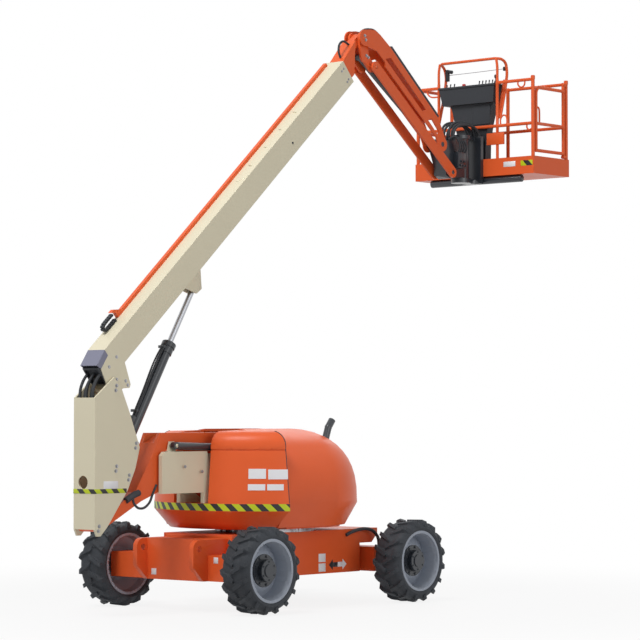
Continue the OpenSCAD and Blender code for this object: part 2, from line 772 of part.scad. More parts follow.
jib_barrel_d = 80;
jib_barrel_len = 1000;
jib_cyl_len = norm(jib_rod_eye - jib_cyl_eye);

module on_jib_cylinder() {
  span = jib_rod_eye - jib_cyl_eye;
  translate([jib_cyl_eye.x, 0, jib_cyl_eye.y]) rotate([0, -atan2(span.y, span.x), 0]) children();
}

module jib_cylinder() {
  color(black) on_jib_cylinder() difference() {
    union() {
      rotate([0, 90, 0]) cylinder(d = jib_barrel_d, h = jib_barrel_len);
      rotate([90, 0, 0]) cylinder(d = jib_barrel_d, h = 80, center = true);
    }
    rotate([90, 0, 0]) cylinder(d = 45 + 2 * pin_gap, h = 2 * jib_barrel_d, center = true);
    translate([120, 0, 0]) rotate([0, 90, 0]) cylinder(d = 45 + 2 * slide_gap, h = jib_barrel_len);
  }
}

module jib_rod() {
  color("silver") on_jib_cylinder() {
    translate([400, 0, 0]) rotate([0, 90, 0]) cylinder(d = 45, h = jib_cyl_len - 400);
    translate([jib_cyl_len, 0, 0]) rotate([90, 0, 0]) cylinder(d = 60, h = 60, center = true);
  }
}

// Platform
column_d = 200;
column_z = tray_z - 33;
column_top = 5400;
support_half = 90;
foot_z0 = tray_z - 90;

module platform_support() {
  outline = [jib_end + [-50, 60], jib_end + [60, 85], [rotator_x, column_top], [rotator_x, column_z],
    [rotator_x - column_d / 2 - 50, column_z], link_end + [20, -70], link_end + [-65, -30], link_end + [-60, 50]];
  color(black) {
    plate_xz(outline, -support_half, support_half);
    translate([rotator_x, 0, column_z]) cylinder(d = column_d, h = column_top - column_z);
    pin_y(jib_end, 60, -jib_w / 2, jib_w / 2);
    pin_y(link_end, 50, -link_out, link_out);
  }
}

module platform_mount() {
  back = platform_x - slide_gap;
  color(black) {
    for (z = [foot_z0, column_top + slide_gap]) {
      h = z == foot_z0 ? column_z - slide_gap - foot_z0 : 45;
      translate([rotator_x, 0, z]) cylinder(d = column_d + 40, h = h);
      translate([rotator_x, -60, z]) cube([back - rotator_x, 120, h]);
    }
    translate([back - 50, -150, foot_z0]) cube([50, 300, column_top + 45 - foot_z0]);
    pin_y([platform_x + 60, foot_z0 + 45], 90, -680, 680);
    translate([rotator_x, -60, foot_z0]) cube([platform_x + 60 - rotator_x, 120, 40]);
  }
}

inset = 25;
post_x0 = platform_x + inset;
post_x1 = platform_x + platform_d - inset;
post_y = platform_w / 2 - inset;
toe_top = tray_z + toe_h;
rail_mid = toe_top + 0.42 * (rail_top - toe_top);

module platform_tray() {
  color(orange) difference() {
    translate([platform_x, -platform_w / 2, tray_z]) cube([platform_d, platform_w, toe_h]);
    translate([platform_x + 2 * inset, -platform_w / 2 + 2 * inset, tray_z + tray_t])
      cube([platform_d - 4 * inset, platform_w - 4 * inset, toe_h]);
  }
}

loop_left = 550;
loop_right = -345;
loop_bend = 110;
gate_x0 = post_x0 + 60;
gate_x1 = post_x1 - 60;
gate_low = toe_top + 50;
gate_high = rail_top - 50;

// Quarter bend of a tube in the X-Z plane about a centre, from the back round to the top
module bend_back_to_top(centre, y, r, d) {
  translate([centre.x, y, centre.y]) rotate([90, 0, 0]) rotate([0, 0, 90]) rotate_extrude(angle = 90) translate([r, 0]) circle(d = d);
}

// Guard loop over the console: up the post, forward over the bend and back down to above the middle rail
module guard_loop(y, loop_z, d) {
  front = post_x0 + 200;
  tube_path([[post_x0, y, toe_top], [post_x0, y, loop_z - loop_bend], [post_x0 + loop_bend / 3, y, loop_z - loop_bend / 3],
    [post_x0 + loop_bend, y, loop_z], [front - 40, y, loop_z - 25], [front, y, loop_z - 100],
    [post_x0, y, rail_mid + 80]], d);
}

module platform_rails() {
  loop_z = rail_top + loop_h;
  thin = rail_d - 4;
  top = rail_top - rail_d / 2;
  color(orange) {
    for (x = [post_x0, post_x1], y = [-post_y, post_y]) bar([x, y, toe_top], [x, y, rail_top], rail_d);
    bar([post_x1, 0, toe_top], [post_x1, 0, rail_top], rail_d);
    tube_path([[post_x0, -post_y, rail_mid], [post_x0, post_y, rail_mid], [post_x1, post_y, rail_mid],
      [post_x1, -post_y, rail_mid]], thin);
    tube_path([[post_x0, loop_left, top], [post_x0, post_y, top], [post_x1, post_y, top], [post_x1, -post_y, top]], thin);
    bar([post_x0, -post_y, top], [post_x0, loop_right, top], thin);
    for (y = [loop_left, loop_right]) guard_loop(y, loop_z, thin - 4);
    bar([post_x0 + loop_bend, loop_right, loop_z], [post_x0 + loop_bend, loop_left, loop_z], thin - 8);
    for (z = [gate_low - 20 - slide_gap, gate_high + 20 + slide_gap])
      bar([gate_x1 - 15, -post_y, z], [post_x1, -post_y, z], 40);
  }
}

module platform_gate() {
  d = rail_d - 4;
  corner = 80;
  top = gate_high - 60;
  color(orange) {
    bar([gate_x1, -post_y, gate_low], [gate_x1, -post_y, gate_high], d);
    bar([gate_x1, -post_y, top], [gate_x0 + corner, -post_y, top], d);
    bend_back_to_top([gate_x0 + corner, top - corner], -post_y, corner, d);
    tube_path([[gate_x0, -post_y, top - corner], [gate_x0, -post_y, gate_low + 20], [gate_x1, -post_y, gate_low + 20]], d);
    bar([gate_x0, -post_y, rail_mid], [gate_x1, -post_y, rail_mid], d);
  }
}

module control_console() {
  low = rail_top - 250;
  high = rail_top - 35;
  right = loop_right + 25;
  left = loop_left - 25;
  floor_z = tray_z + tray_t;
  face = [[right + 15, low], [left - 60, low], [left, high], [right, high]];
  pedestal = [[right + 60, low], [left - 130, low], [left - 160, low - 60], [270, 5400], [250, floor_z], [-140, floor_z],
    [-150, 5400], [right + 130, low - 250]];
  color(black) {
    translate([post_x0 - 35, 0, 0]) rotate([90, 0, 90]) linear_extrude(170) polygon(face);
    translate([post_x0 + inset + 2, 0, 0]) rotate([90, 0, 90]) linear_extrude(110) polygon(pedestal);
  }
}

chassis_frame();
rear_axle();
front_axle();
swing_bearing();
knuckle(1);  // knuckle_left
knuckle(-1);  // knuckle_right
tyre(-axle_x, 1);  // tyre_rear_left
tyre(-axle_x, -1);  // tyre_rear_right
tyre(axle_x, 1);  // tyre_front_left
tyre(axle_x, -1);  // tyre_front_right
rim(-axle_x, 1);  // rim_rear_left
rim(-axle_x, -1);  // rim_rear_right
rim(axle_x, 1);  // rim_front_left
rim(axle_x, -1);  // rim_front_right
turntable_base();
tower_base();
nose_hood();
engine_block();
exhaust_pipe();
hood_door();  // hood_right
mirror([0, 1, 0]) hood_door();  // hood_left
tower_lower();
mid_upright();
tower_upper();
upright();
tower_cylinder();
tower_rod();
boom_base();
boom_rail();
boom_cover();
lift_cylinder();
lift_rod();
fly_boom();
jib_bracket();
jib_arm();
jib_links();
jib_cylinder();
jib_rod();
platform_support();
platform_mount();
platform_tray();
platform_rails();
platform_gate();
control_console();
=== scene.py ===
import json
import math

import bpy
from mathutils import Matrix, Vector

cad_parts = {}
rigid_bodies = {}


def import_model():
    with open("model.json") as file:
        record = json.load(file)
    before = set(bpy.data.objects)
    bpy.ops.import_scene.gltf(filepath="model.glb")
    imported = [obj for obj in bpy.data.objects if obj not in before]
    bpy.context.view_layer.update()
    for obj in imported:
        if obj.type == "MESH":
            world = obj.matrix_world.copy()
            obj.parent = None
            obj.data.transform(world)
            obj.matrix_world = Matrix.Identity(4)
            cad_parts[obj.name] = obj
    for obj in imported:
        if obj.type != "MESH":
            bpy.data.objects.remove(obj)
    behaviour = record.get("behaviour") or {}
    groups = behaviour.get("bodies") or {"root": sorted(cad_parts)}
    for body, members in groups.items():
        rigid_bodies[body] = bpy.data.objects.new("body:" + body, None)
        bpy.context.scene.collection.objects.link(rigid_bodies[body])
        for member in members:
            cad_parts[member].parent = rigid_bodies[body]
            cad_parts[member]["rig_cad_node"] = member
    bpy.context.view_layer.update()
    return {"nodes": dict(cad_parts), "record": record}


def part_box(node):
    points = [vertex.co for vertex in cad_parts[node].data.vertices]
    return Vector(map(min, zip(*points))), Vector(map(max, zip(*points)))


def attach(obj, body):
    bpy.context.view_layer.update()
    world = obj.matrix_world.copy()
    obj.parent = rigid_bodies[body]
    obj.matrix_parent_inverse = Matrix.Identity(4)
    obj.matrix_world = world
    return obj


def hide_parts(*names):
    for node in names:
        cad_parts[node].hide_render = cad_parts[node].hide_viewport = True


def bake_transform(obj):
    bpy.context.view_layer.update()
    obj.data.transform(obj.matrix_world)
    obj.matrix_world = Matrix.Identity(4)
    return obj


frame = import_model()
nodes = frame["nodes"]
print("frame loaded:", len(nodes), "nodes")


# Camera: solved from the wheels and the platform in the photograph
cameraSetup = {
    "place": (-21.4095, -19.0884, 2.0744),
    "yaw": 49.49,        # degrees from +Y towards +X
    "pitch": 2.078,      # degrees above level
    "lens": 146.25,      # mm
    "sensor": 36.0,      # mm
    "sight": 200.0,      # metres
}


def makeCamera(setup):
    data = bpy.data.cameras.new("photoCamera")
    data.lens = setup["lens"]
    data.sensor_width = setup["sensor"]
    data.clip_end = setup["sight"]
    camera = bpy.data.objects.new("photoCamera", data)
    bpy.context.scene.collection.objects.link(camera)
    camera.location = setup["place"]
    camera.rotation_euler = (math.radians(90 + setup["pitch"]), 0, -math.radians(setup["yaw"]))
    bpy.context.scene.camera = camera
    print("camera ready")


makeCamera(cameraSetup)


# Shader maths: one socket of a node tree, with operators that add Math nodes
class Shade:
    def __init__(self, tree, socket):
        self.tree = tree
        self.socket = socket

    def node(self, kind, settings, values, out=0):
        made = self.tree.nodes.new(kind)
        for key, value in settings.items():
            setattr(made, key, value)
        for key, value in values.items():
            target = made.inputs[key]
            if isinstance(value, Shade):
                self.tree.links.new(value.socket, target)
            elif target.type == "RGBA":
                target.default_value = (*value[:3], 1.0)
            else:
                target.default_value = value
        return Shade(self.tree, made.outputs[out])

    def calc(self, operation, *terms):
        return self.node("ShaderNodeMath", {"operation": operation}, dict(enumerate(terms)))

    def __add__(self, other):
        return self.calc("ADD", self, other)

    def __sub__(self, other):
        return self.calc("SUBTRACT", self, other)

    def __mul__(self, other):
        return self.calc("MULTIPLY", self, other)

    def __truediv__(self, other):
        return self.calc("DIVIDE", self, other)

    def __gt__(self, other):
        return self.calc("GREATER_THAN", self, other)

    def mixed(self, low, high):
        return self.node("ShaderNodeMix", {"data_type": "RGBA"}, {0: self, 6: low, 7: high}, 2)


def linear(red, green, blue):
    def channel(v):
        v = v / 255
        return v / 12.92 if v <= 0.04045 else ((v + 0.055) / 1.055) ** 2.4
    return tuple(channel(v) for v in (red, green, blue))


def startMaterial(name):
    made = bpy.data.materials.new(name)
    made.use_nodes = True
    tree = made.node_tree
    shader = next(n for n in tree.nodes if n.type == "BSDF_PRINCIPLED")
    start = Shade(tree, None)
    place = start.node("ShaderNodeTexCoord", {}, {}, 3)
    return made, tree, shader, place


def feed(tree, shader, **inputs):
    names = {"colour": "Base Color", "rough": "Roughness", "metal": "Metallic", "coat": "Coat Weight",
             "normal": "Normal", "coatRough": "Coat Roughness", "shine": "Specular IOR Level"}
    for key, value in inputs.items():
        target = shader.inputs[names[key]]
        if isinstance(value, Shade):
            tree.links.new(value.socket, target)
        elif target.type == "RGBA":
            target.default_value = (*value[:3], 1.0)
        else:
            target.default_value = value


def noise(place, scale, detail=3.0, rough=0.5):
    values = {"Vector": place, "Scale": scale, "Detail": detail, "Roughness": rough}
    return place.node("ShaderNodeTexNoise", {}, values)


def bump(height, strength, distance, normal=None):
    values = {"Height": height, "Strength": strength, "Distance": distance}
    if normal:
        values["Normal"] = normal
    return height.node("ShaderNodeBump", {}, values)


def softEdges(place, radius):
    return place.node("ShaderNodeBevel", {"samples": 6}, {"Radius": radius})


edgeRange = {"low": 0.80, "high": 0.995}     # cosine between the rounded and the flat normal
paintLook = {"patches": 1.7, "grain": 260.0, "lift": 0.05, "depth": 0.0015, "smear": 6.0, "spread": 0.16,
             "paleEdges": 0.45, "coatRough": 0.2}
metalLook = {"streak": (40.0, 40.0, 3.0), "lines": 6.0, "smear": 9.0, "dark": 0.88, "spread": 0.1,
             "depth": 0.0005}
plasticLook = {"round": 0.004, "smear": 5.0, "gain": 1.5, "add": 0.006, "cloud": 0.35, "paleEdges": 0.3,
               "spread": 0.2, "depth": 0.0012}
rubberLook = {"grain": 130.0, "patches": 3.5, "low": 0.35, "high": 0.75, "dusty": 0.6, "rough": 0.62,
              "spread": 0.2, "lift": 0.25, "depth": 0.002}


# Edges are drawn in a paler tint, by how far the rounded normal leans from the flat one
def edgeMask(place, rounded):
    flat = place.node("ShaderNodeNewGeometry", {}, {}, 1)
    facing = place.node("ShaderNodeVectorMath", {"operation": "DOT_PRODUCT"}, {0: rounded, 1: flat}, 1)
    return place.node("ShaderNodeMapRange", {"clamp": True},
                      {"Value": facing, "From Min": edgeRange["high"], "From Max": edgeRange["low"]})


def tinted(colour, factor):
    return tuple(min(1.0, c * factor) for c in colour)


def paint(name, colour, rough=0.42, coat=0.08, edge=1.25, cloud=0.07, roundness=0.002, shine=0.24):
    made, tree, shader, place = startMaterial(name)
    rounded = softEdges(place, roundness)
    look = paintLook
    # edges drawn in the paler tint
    paleEdges = edgeMask(place, rounded)
    patches = noise(place, look["patches"], 4.0, 0.6)
    base = patches.mixed(tinted(colour, 1 - cloud), tinted(colour, 1 + cloud))
    shade = (paleEdges * look["paleEdges"]).mixed(base, tinted(colour, edge))
    grain = noise(place, look["grain"], 2.0)
    smear = noise(place, look["smear"], 5.0, 0.65)
    feed(tree, shader, colour=shade, rough=smear * look["spread"] + (rough - look["spread"] / 2), coat=coat,
         coatRough=look["coatRough"], shine=shine, normal=bump(grain, look["lift"], look["depth"], rounded))
    return made


def metal(name, colour, rough, brushed=0.0):
    made, tree, shader, place = startMaterial(name)
    look = metalLook
    streak = place.node("ShaderNodeMapping", {}, {"Vector": place, "Scale": look["streak"]})
    lines = noise(streak, look["lines"], 4.0, 0.7)
    smear = noise(place, look["smear"], 4.0)
    shade = smear.mixed(tinted(colour, look["dark"]), colour)
    feed(tree, shader, colour=shade, metal=1.0, rough=lines * look["spread"] + (rough - look["spread"] / 2),
         normal=bump(lines, brushed, look["depth"]))
    return made


def plastic(name, colour, rough=0.55, grainScale=420.0, lift=0.18):
    made, tree, shader, place = startMaterial(name)
    look = plasticLook
    rounded = softEdges(place, look["round"])
    # edges drawn in the paler tint
    paleEdges = edgeMask(place, rounded)
    grain = noise(place, grainScale, 2.0)
    smear = noise(place, look["smear"], 5.0, 0.6)
    light = tuple(min(1.0, c * look["gain"] + look["add"]) for c in colour)
    base = (smear * look["cloud"]).mixed(colour, light)
    shade = (paleEdges * look["paleEdges"]).mixed(base, light)
    feed(tree, shader, colour=shade, rough=smear * look["spread"] + (rough - look["spread"] / 2),
         normal=bump(grain, lift, look["depth"], rounded))
    return made


def rubber(name, colour, dust):
    made, tree, shader, place = startMaterial(name)
    look = rubberLook
    grain = noise(place, look["grain"], 5.0, 0.6)
    patches = noise(place, look["patches"], 5.0, 0.65)
    base = place.node("ShaderNodeMapRange", {"clamp": True},
                      {"Value": patches, "From Min": look["low"], "From Max": look["high"],
                       "To Max": look["dusty"]})
    feed(tree, shader, colour=base.mixed(colour, dust), rough=grain * look["spread"] + look["rough"],
         normal=bump(grain, look["lift"], look["depth"]))
    return made


orangeColour = linear(228, 96, 46)
creamColour = linear(222, 214, 188)
finishes = {
    "orange_paint": paint("orangePaint", orangeColour),
    "cream_paint": paint("creamPaint", creamColour, rough=0.46, edge=1.1, cloud=0.03),
    "black_paint": paint("blackPaint", linear(38, 43, 50), rough=0.32, coat=0.3, edge=2.2, cloud=0.2,
                         shine=0.5),
    "black_plastic": plastic("blackPlastic", linear(24, 28, 35)),
    "grey_plastic": plastic("greyPlastic", linear(118, 119, 138), rough=0.55),
    "chrome_rod": metal("chromeRod", (0.46, 0.47, 0.50), 0.30),
    "wheel_paint": paint("wheelPaint", linear(158, 165, 177), rough=0.42, edge=1.2, cloud=0.06),
    "tyre_rubber": rubber("tyreRubber", linear(33, 37, 43), linear(60, 65, 72)),
    "steel": metal("bearingSteel", (0.42, 0.42, 0.44), 0.38, 0.2),
}
slotOf = {part["node"]: part["material_slot"] for part in frame["record"]["subparts"]}


def dressNodes():
    for name, piece in nodes.items():
        piece.data.materials.clear()
        piece.data.materials.append(finishes[slotOf[name]])
    print("materials on", len(nodes), "nodes")


dressNodes()


# Modelling helpers: a primitive at its size and place, shaped in edit mode
def begin():
    if bpy.context.mode != "OBJECT":
        bpy.ops.object.mode_set(mode="OBJECT")
    bpy.ops.object.select_all(action="DESELECT")


def focus(piece):
    begin()
    piece.select_set(True)
    bpy.context.view_layer.objects.active = piece
    return piece


def settled(piece):
    focus(piece)
    bpy.ops.object.transform_apply(location=True, rotation=True, scale=True)
    return piece


def choose(piece, test):
    focus(piece)
    bpy.ops.object.mode_set(mode="EDIT")
    bpy.ops.mesh.select_mode(type="FACE")
    bpy.ops.mesh.select_all(action="DESELECT")
    bpy.ops.object.mode_set(mode="OBJECT")
    for face in piece.data.polygons:
        face.select = test(face)
    bpy.ops.object.mode_set(mode="EDIT")


def leaveEdit():
    bpy.ops.object.mode_set(mode="OBJECT")


def modified(piece, kind, **settings):
    focus(piece)
    added = piece.modifiers.new("shape", kind)
    for key, value in settings.items():
        setattr(added, key, value)
    bpy.ops.object.modifier_apply(modifier=added.name)
    return piece


def raised(piece, test, rim, height):
    choose(piece, test)
    bpy.ops.mesh.inset(thickness=rim)
    bpy.ops.mesh.extrude_region_shrink_fatten(TRANSFORM_OT_shrink_fatten={"value": height})
    leaveEdit()
    return piece


def isCap(face):
    return len(face.vertices) > 4


def looking(way, level, area=0.0):
    return lambda face: face.normal.dot(Vector(way)) > level and face.area > area


def addBlock(low, high, bevel):
    begin()
    middle = [(a + b) / 2 for a, b in zip(low, high)]
    bpy.ops.mesh.primitive_cube_add(size=1.0, location=middle)
    piece = bpy.context.object
    piece.scale = [b - a for a, b in zip(low, high)]
    settled(piece)
    choose(piece, lambda face: True)
    bpy.ops.mesh.bevel(offset=bevel, segments=2, affect="EDGES")
    leaveEdit()
    return piece


def addDrum(start, end, radius, sides, bevel):
    begin()
    axis = Vector(end) - Vector(start)
    bpy.ops.mesh.primitive_cylinder_add(vertices=sides, radius=radius, depth=axis.length,
                                        location=(Vector(start) + Vector(end)) / 2,
                                        rotation=axis.to_track_quat("Z", "Y").to_euler())
    return raised(settled(bpy.context.object), isCap, bevel, bevel)


def joined(parts):
    begin()
    for part in parts:
        part.select_set(True)
    bpy.context.view_layer.objects.active = parts[0]
    bpy.ops.object.join()
    return bpy.context.object


def copied(piece, matrix):
    twin = piece.copy()
    twin.data = piece.data.copy()
    twin.data.transform(matrix)
    bpy.context.scene.collection.objects.link(twin)
    return twin


def discard(piece):
    bpy.data.objects.remove(piece)


smoothAngle = {"solids": math.radians(28), "trim": math.radians(35)}


def finished(piece, name, body, slot, finish=None):
    focus(piece)
    piece.name = name
    bpy.ops.object.mode_set(mode="EDIT")
    bpy.ops.mesh.select_all(action="SELECT")
    bpy.ops.mesh.normals_make_consistent(inside=False)
    leaveEdit()
    bpy.ops.object.shade_smooth_by_angle(angle=smoothAngle["trim"])
    piece.data.materials.clear()
    piece.data.materials.append(finish or finishes[slot])
    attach(piece, body)
    return piece


# Solids from the frame, merged and shaded smooth where they are round
bodyOf = {name: body for body, members in frame["record"]["behaviour"]["bodies"].items() for name in members}
mergeGap = 0.00005
railCut = 6.14      # the guard loop above this height is modelled below
fullTubes = {"platform_rails": 0.004, "platform_gate": 0.004}     # paint and weld beads on the tubes, metres
longNodes = {"boom_base", "boom_rail", "fly_boom"}                # cut across, so long faces shade evenly
longCuts = {"start": (-2.472, 2.365), "way": (0.74896, 0.66262), "step": 0.4, "count": 14}
flatNodes = {"engine_block", "platform_tray", "control_console", "tower_lower"}


def cutAcross(setup):
    (x, z), (wayX, wayZ) = setup["start"], setup["way"]
    for i in range(1, setup["count"]):
        bpy.ops.mesh.select_all(action="SELECT")
        reach = i * setup["step"]
        place = (x + reach * wayX, 0, z + reach * wayZ)
        bpy.ops.mesh.bisect(plane_co=place, plane_no=(wayX, 0, wayZ))


def smoothNode(name):
    source = nodes[name]
    twin = source.copy()
    twin.data = source.data.copy()
    twin.parent = None
    del twin["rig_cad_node"]
    bpy.context.scene.collection.objects.link(twin)
    focus(twin)
    bpy.ops.object.mode_set(mode="EDIT")
    bpy.ops.mesh.select_all(action="SELECT")
    bpy.ops.mesh.remove_doubles(threshold=mergeGap)
    if name in fullTubes:
        bpy.ops.transform.shrink_fatten(value=fullTubes[name])
    if name == "platform_rails":
        bpy.ops.mesh.bisect(plane_co=(0, 0, railCut), plane_no=(0, 0, 1), clear_outer=True, use_fill=True)
    if name in longNodes:
        cutAcross(longCuts)
    leaveEdit()
    bpy.ops.object.shade_smooth_by_angle(angle=smoothAngle["solids"])
    modified(twin, "WEIGHTED_NORMAL", keep_sharp=True, weight=100)
    twin.name = name + "Smooth"
    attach(twin, bodyOf[name])
    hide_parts(name)


for nodeName in nodes:
    if nodeName not in flatNodes:
        smoothNode(nodeName)
print("round solids shaded smooth")


# Bolts: one hexagon head on a washer, copied to each place
boltForm = {"sunk": 0.004, "washer": 0.003, "washerRadius": 1.55, "washerSides": 20, "washerBevel": 0.001,
            "head": 0.9, "rim": 0.18, "crown": 0.12}


def makeBolt(radius, form):
    washer = addDrum((0, 0, -form["sunk"]), (0, 0, form["washer"]), radius * form["washerRadius"],
                     form["washerSides"], form["washerBevel"])
    begin()
    tall = radius * form["head"]
    bpy.ops.mesh.primitive_cylinder_add(vertices=6, radius=radius, depth=tall,
                                        location=(0, 0, form["washer"] + tall / 2))
    head = settled(bpy.context.object)
    raised(head, looking((0, 0, 1), 0.9), radius * form["rim"], radius * form["crown"])
    return joined([head, washer])


def boltSet(name, body, slot, places, facing, radius, height=1.0):
    model = makeBolt(radius, boltForm)
    turn = Vector(facing).to_track_quat("Z", "Y").to_matrix().to_4x4()
    turn = turn @ Matrix.Diagonal((1, 1, height, 1))
    made = [copied(model, Matrix.Translation(place) @ turn) for place in places]
    discard(model)
    return finished(joined(made), name, body, slot)


# Hazard stripes and blank labels, thin sheets on the painted surfaces
labelWhite = plastic("labelWhite", linear(226, 226, 230), rough=0.4, grainScale=900.0, lift=0.05)
arrowBlack = plastic("arrowBlack", linear(30, 31, 34), rough=0.4, grainScale=900.0, lift=0.05)
stripes = {"pitch": 0.165, "pale": linear(190, 205, 20), "dark": linear(24, 25, 26), "scuffs": 30.0,
           "spread": 0.25, "rough": 0.3}
sheet = {"thick": 0.002, "bevel": 0.0006, "sides": 240, "outer": 0.0018, "inner": 0.0002}


def hazard(name, run):
    made, tree, shader, place = startMaterial(name)
    split = tree.nodes.new("ShaderNodeSeparateXYZ")
    tree.links.new(place.socket, split.inputs[0])
    x, y, z = (Shade(tree, split.outputs[i]) for i in range(3))
    phase = x.calc("FRACT", (run(x, y) + z) / stripes["pitch"])
    scuffs = noise(place, stripes["scuffs"], 4.0, 0.6)
    shade = (phase > 0.5).mixed(stripes["pale"], stripes["dark"])
    feed(tree, shader, colour=shade, rough=scuffs * stripes["spread"] + stripes["rough"])
    return made


def curvedPlate(lowRadius, highRadius, lowZ, highZ, start, end):
    begin()
    bpy.ops.mesh.primitive_cone_add(vertices=sheet["sides"], radius1=lowRadius, radius2=highRadius,
                                    depth=highZ - lowZ, end_fill_type="NOTHING",
                                    location=(0, 0, (lowZ + highZ) / 2))
    piece = settled(bpy.context.object)
    for angle, sign in ((start, 1), (end, -1)):
        choose(piece, lambda face: True)
        square = (-sign * math.sin(angle), sign * math.cos(angle), 0)
        bpy.ops.mesh.bisect(plane_co=(0, 0, lowZ), plane_no=square, clear_inner=True)
        leaveEdit()
    return modified(piece, "SOLIDIFY", thickness=sheet["thick"], offset=1.0)


panBand = {"radius": 1.2155, "low": 1.052, "high": 1.128, "seam": -0.71, "stripes": 46, "gap": 0.0001}


def makePanBand(setup):
    radius, gap = setup["radius"], setup["gap"]
    reach = math.acos(setup["seam"] / radius)
    spans = ((reach, math.pi - gap), (math.pi + gap, 2 * math.pi - reach))
    halves = [curvedPlate(radius, radius, setup["low"], setup["high"], start, end) for start, end in spans]
    perTurn = setup["stripes"] * stripes["pitch"] / (2 * math.pi)
    finish = hazard("panStripes", lambda x, y: x.calc("ARCTAN2", y, x) * perTurn)
    return finished(joined(halves), "panStripes", "turntable", "black_plastic", finish)


uprightBand = {"rear": -2.7705, "front": -2.315, "half": 0.1555, "low": 1.266, "high": 1.312}


def makeUprightBand(setup):
    rear, front, half, low, high = (setup[key] for key in ("rear", "front", "half", "low", "high"))
    thick, bevel = sheet["thick"], sheet["bevel"]
    strips = [addBlock((rear - thick, -half - thick, low), (rear, half + thick, high), bevel)]
    for y in (-half, half):
        strips.append(addBlock((rear - thick, y - thick / 2, low), (front, y + thick / 2, high), bevel))
    finish = hazard("uprightStripes", lambda x, y: x - y)
    return finished(joined(strips), "uprightStripes", "upright", "black_plastic", finish)


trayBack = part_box("platform_tray")[0][0]
trayOuter = trayBack - sheet["outer"]
trayInner = trayBack - sheet["inner"]
trayPatch = {"low": (trayOuter, -0.885, 5.055), "high": (trayInner, -0.71, 5.118)}


def makeTrayPatch(setup):
    finish = hazard("trayStripes", lambda x, y: y * -1.0)
    patch = addBlock(setup["low"], setup["high"], sheet["bevel"])
    return finished(patch, "trayStripes", "platform", "black_plastic", finish)


makePanBand(panBand)
makeUprightBand(uprightBand)
makeTrayPatch(trayPatch)

doorRadius = {"low": 1.215, "lowZ": 1.13, "high": 1.172, "highZ": 1.69}


def doorAt(z):
    share = (z - doorRadius["lowZ"]) / (doorRadius["highZ"] - doorRadius["lowZ"])
    return doorRadius["low"] + share * (doorRadius["high"] - doorRadius["low"])


doorLabels = {
    "rear": {"from": (-0.999, -0.656), "to": (-0.888, -0.806), "low": 1.394, "high": 1.499},
    "middle": {"from": (-0.872, -0.823), "to": (-0.715, -0.964), "low": 1.388, "high": 1.492},
    "lowerRear": {"from": (-1.003, -0.653), "to": (-0.893, -0.800), "low": 1.272, "high": 1.337},
    "lower": {"from": (-0.880, -0.815), "to": (-0.752, -0.935), "low": 1.272, "high": 1.337},
}


def makeDoorLabels(labels):
    plates = []
    for label in labels.values():
        low, high = label["low"], label["high"]
        start, end = (math.atan2(y, x) for x, y in (label["from"], label["to"]))
        plates.append(curvedPlate(doorAt(low), doorAt(high), low, high, start, end))
    return finished(joined(plates), "doorLabels", "hood_right", "black_plastic", labelWhite)


makeDoorLabels(doorLabels)

sideLabels = {
    "uprightLabel": {"body": "upright", "low": (-2.649, -0.1572, 1.314), "high": (-2.438, -0.1548, 1.391)},
    "trayLabel": {"body": "platform", "low": (trayOuter, -0.632, 5.055), "high": (trayInner, -0.454, 5.118)},
    "blockLabel": {"body": "chassis", "low": (-1.4618, 0.245, 0.372), "high": (-1.4602, 0.318, 0.438)},
    "axleLabel": {"body": "chassis", "low": (-1.3918, -0.585, 0.515), "high": (-1.3902, -0.52, 0.578)},
    "frameLabelUpper": {"body": "chassis", "low": (0.322, -0.5018, 0.453), "high": (0.439, -0.5002, 0.545)},
    "frameLabelLower": {"body": "chassis", "low": (0.322, -0.5018, 0.347), "high": (0.439, -0.5002, 0.438)},
}
for labelName, label in sideLabels.items():
    plate = addBlock(label["low"], label["high"], sheet["bevel"])
    finished(plate, labelName, label["body"], "black_plastic", labelWhite)

arrow = {"side": -0.5, "thick": 0.0018, "gap": 0.0002, "bevel": 0.0005, "middle": 0.416,
         "tail": 0.647, "reach": 0.151, "neck": 0.55, "tip": 0.15, "long": 0.3,
         "shaft": 0.026, "head": 0.059, "corner": 0.866}     # corner: half width of a triangle of radius 1


def makeArrow(setup, sign):
    side, thick, gap, middle = (setup[key] for key in ("side", "thick", "gap", "middle"))
    neck = setup["tail"] + sign * setup["reach"] * setup["neck"]
    ends = sorted((setup["tail"], neck))
    shaft = addBlock((ends[0], side - thick, middle - setup["shaft"]),
                     (ends[1], side - gap, middle + setup["shaft"]), setup["bevel"])
    begin()
    place = (neck + sign * setup["reach"] * setup["tip"], side - (thick + gap) / 2, middle)
    bpy.ops.mesh.primitive_cylinder_add(vertices=3, radius=1.0, depth=thick - gap, location=place,
                                        rotation=(math.pi / 2, sign * math.pi / 2, 0))
    head = bpy.context.object
    head.scale = (setup["head"] / setup["corner"], setup["reach"] * setup["long"], 1.0)
    settled(head)
    return joined([shaft, head])


finished(makeArrow(arrow, -1), "driveArrowBack", "chassis", "black_plastic", arrowBlack)
finished(makeArrow(arrow, 1), "driveArrowForward", "chassis", "black_plastic", labelWhite)
print("stripes and labels on")

# Wheel hubs: a dark drum over each hub, with its nuts, cap and cap bolts
# Drums here and below are given as radius, sides and bevel
hub = {"axleX": 1.24, "axleZ": 0.455, "trackY": 1.04, "face": 0.0445, "end": 0.121,
       "capThick": 0.012, "flangeThick": 0.014,
       "drum": (0.118, 40, 0.004), "cap": (0.07, 32, 0.003), "flange": (0.172, 48, 0.003),
       "nuts": 9, "nutCircle": 0.148, "nutRadius": 0.013,
       "bolts": 6, "boltCircle": 0.095, "boltRadius": 0.007, "boltLift": 0.004}
wheelSpots = {"rear_left": (-1, 1), "rear_right": (-1, -1), "front_left": (1, 1), "front_right": (1, -1)}


def ring(centre, radius, count, y, phase=0.0):
    turns = [2 * math.pi * (i + phase) / count for i in range(count)]
    return [(centre[0] + radius * math.cos(t), y, centre[1] + radius * math.sin(t)) for t in turns]


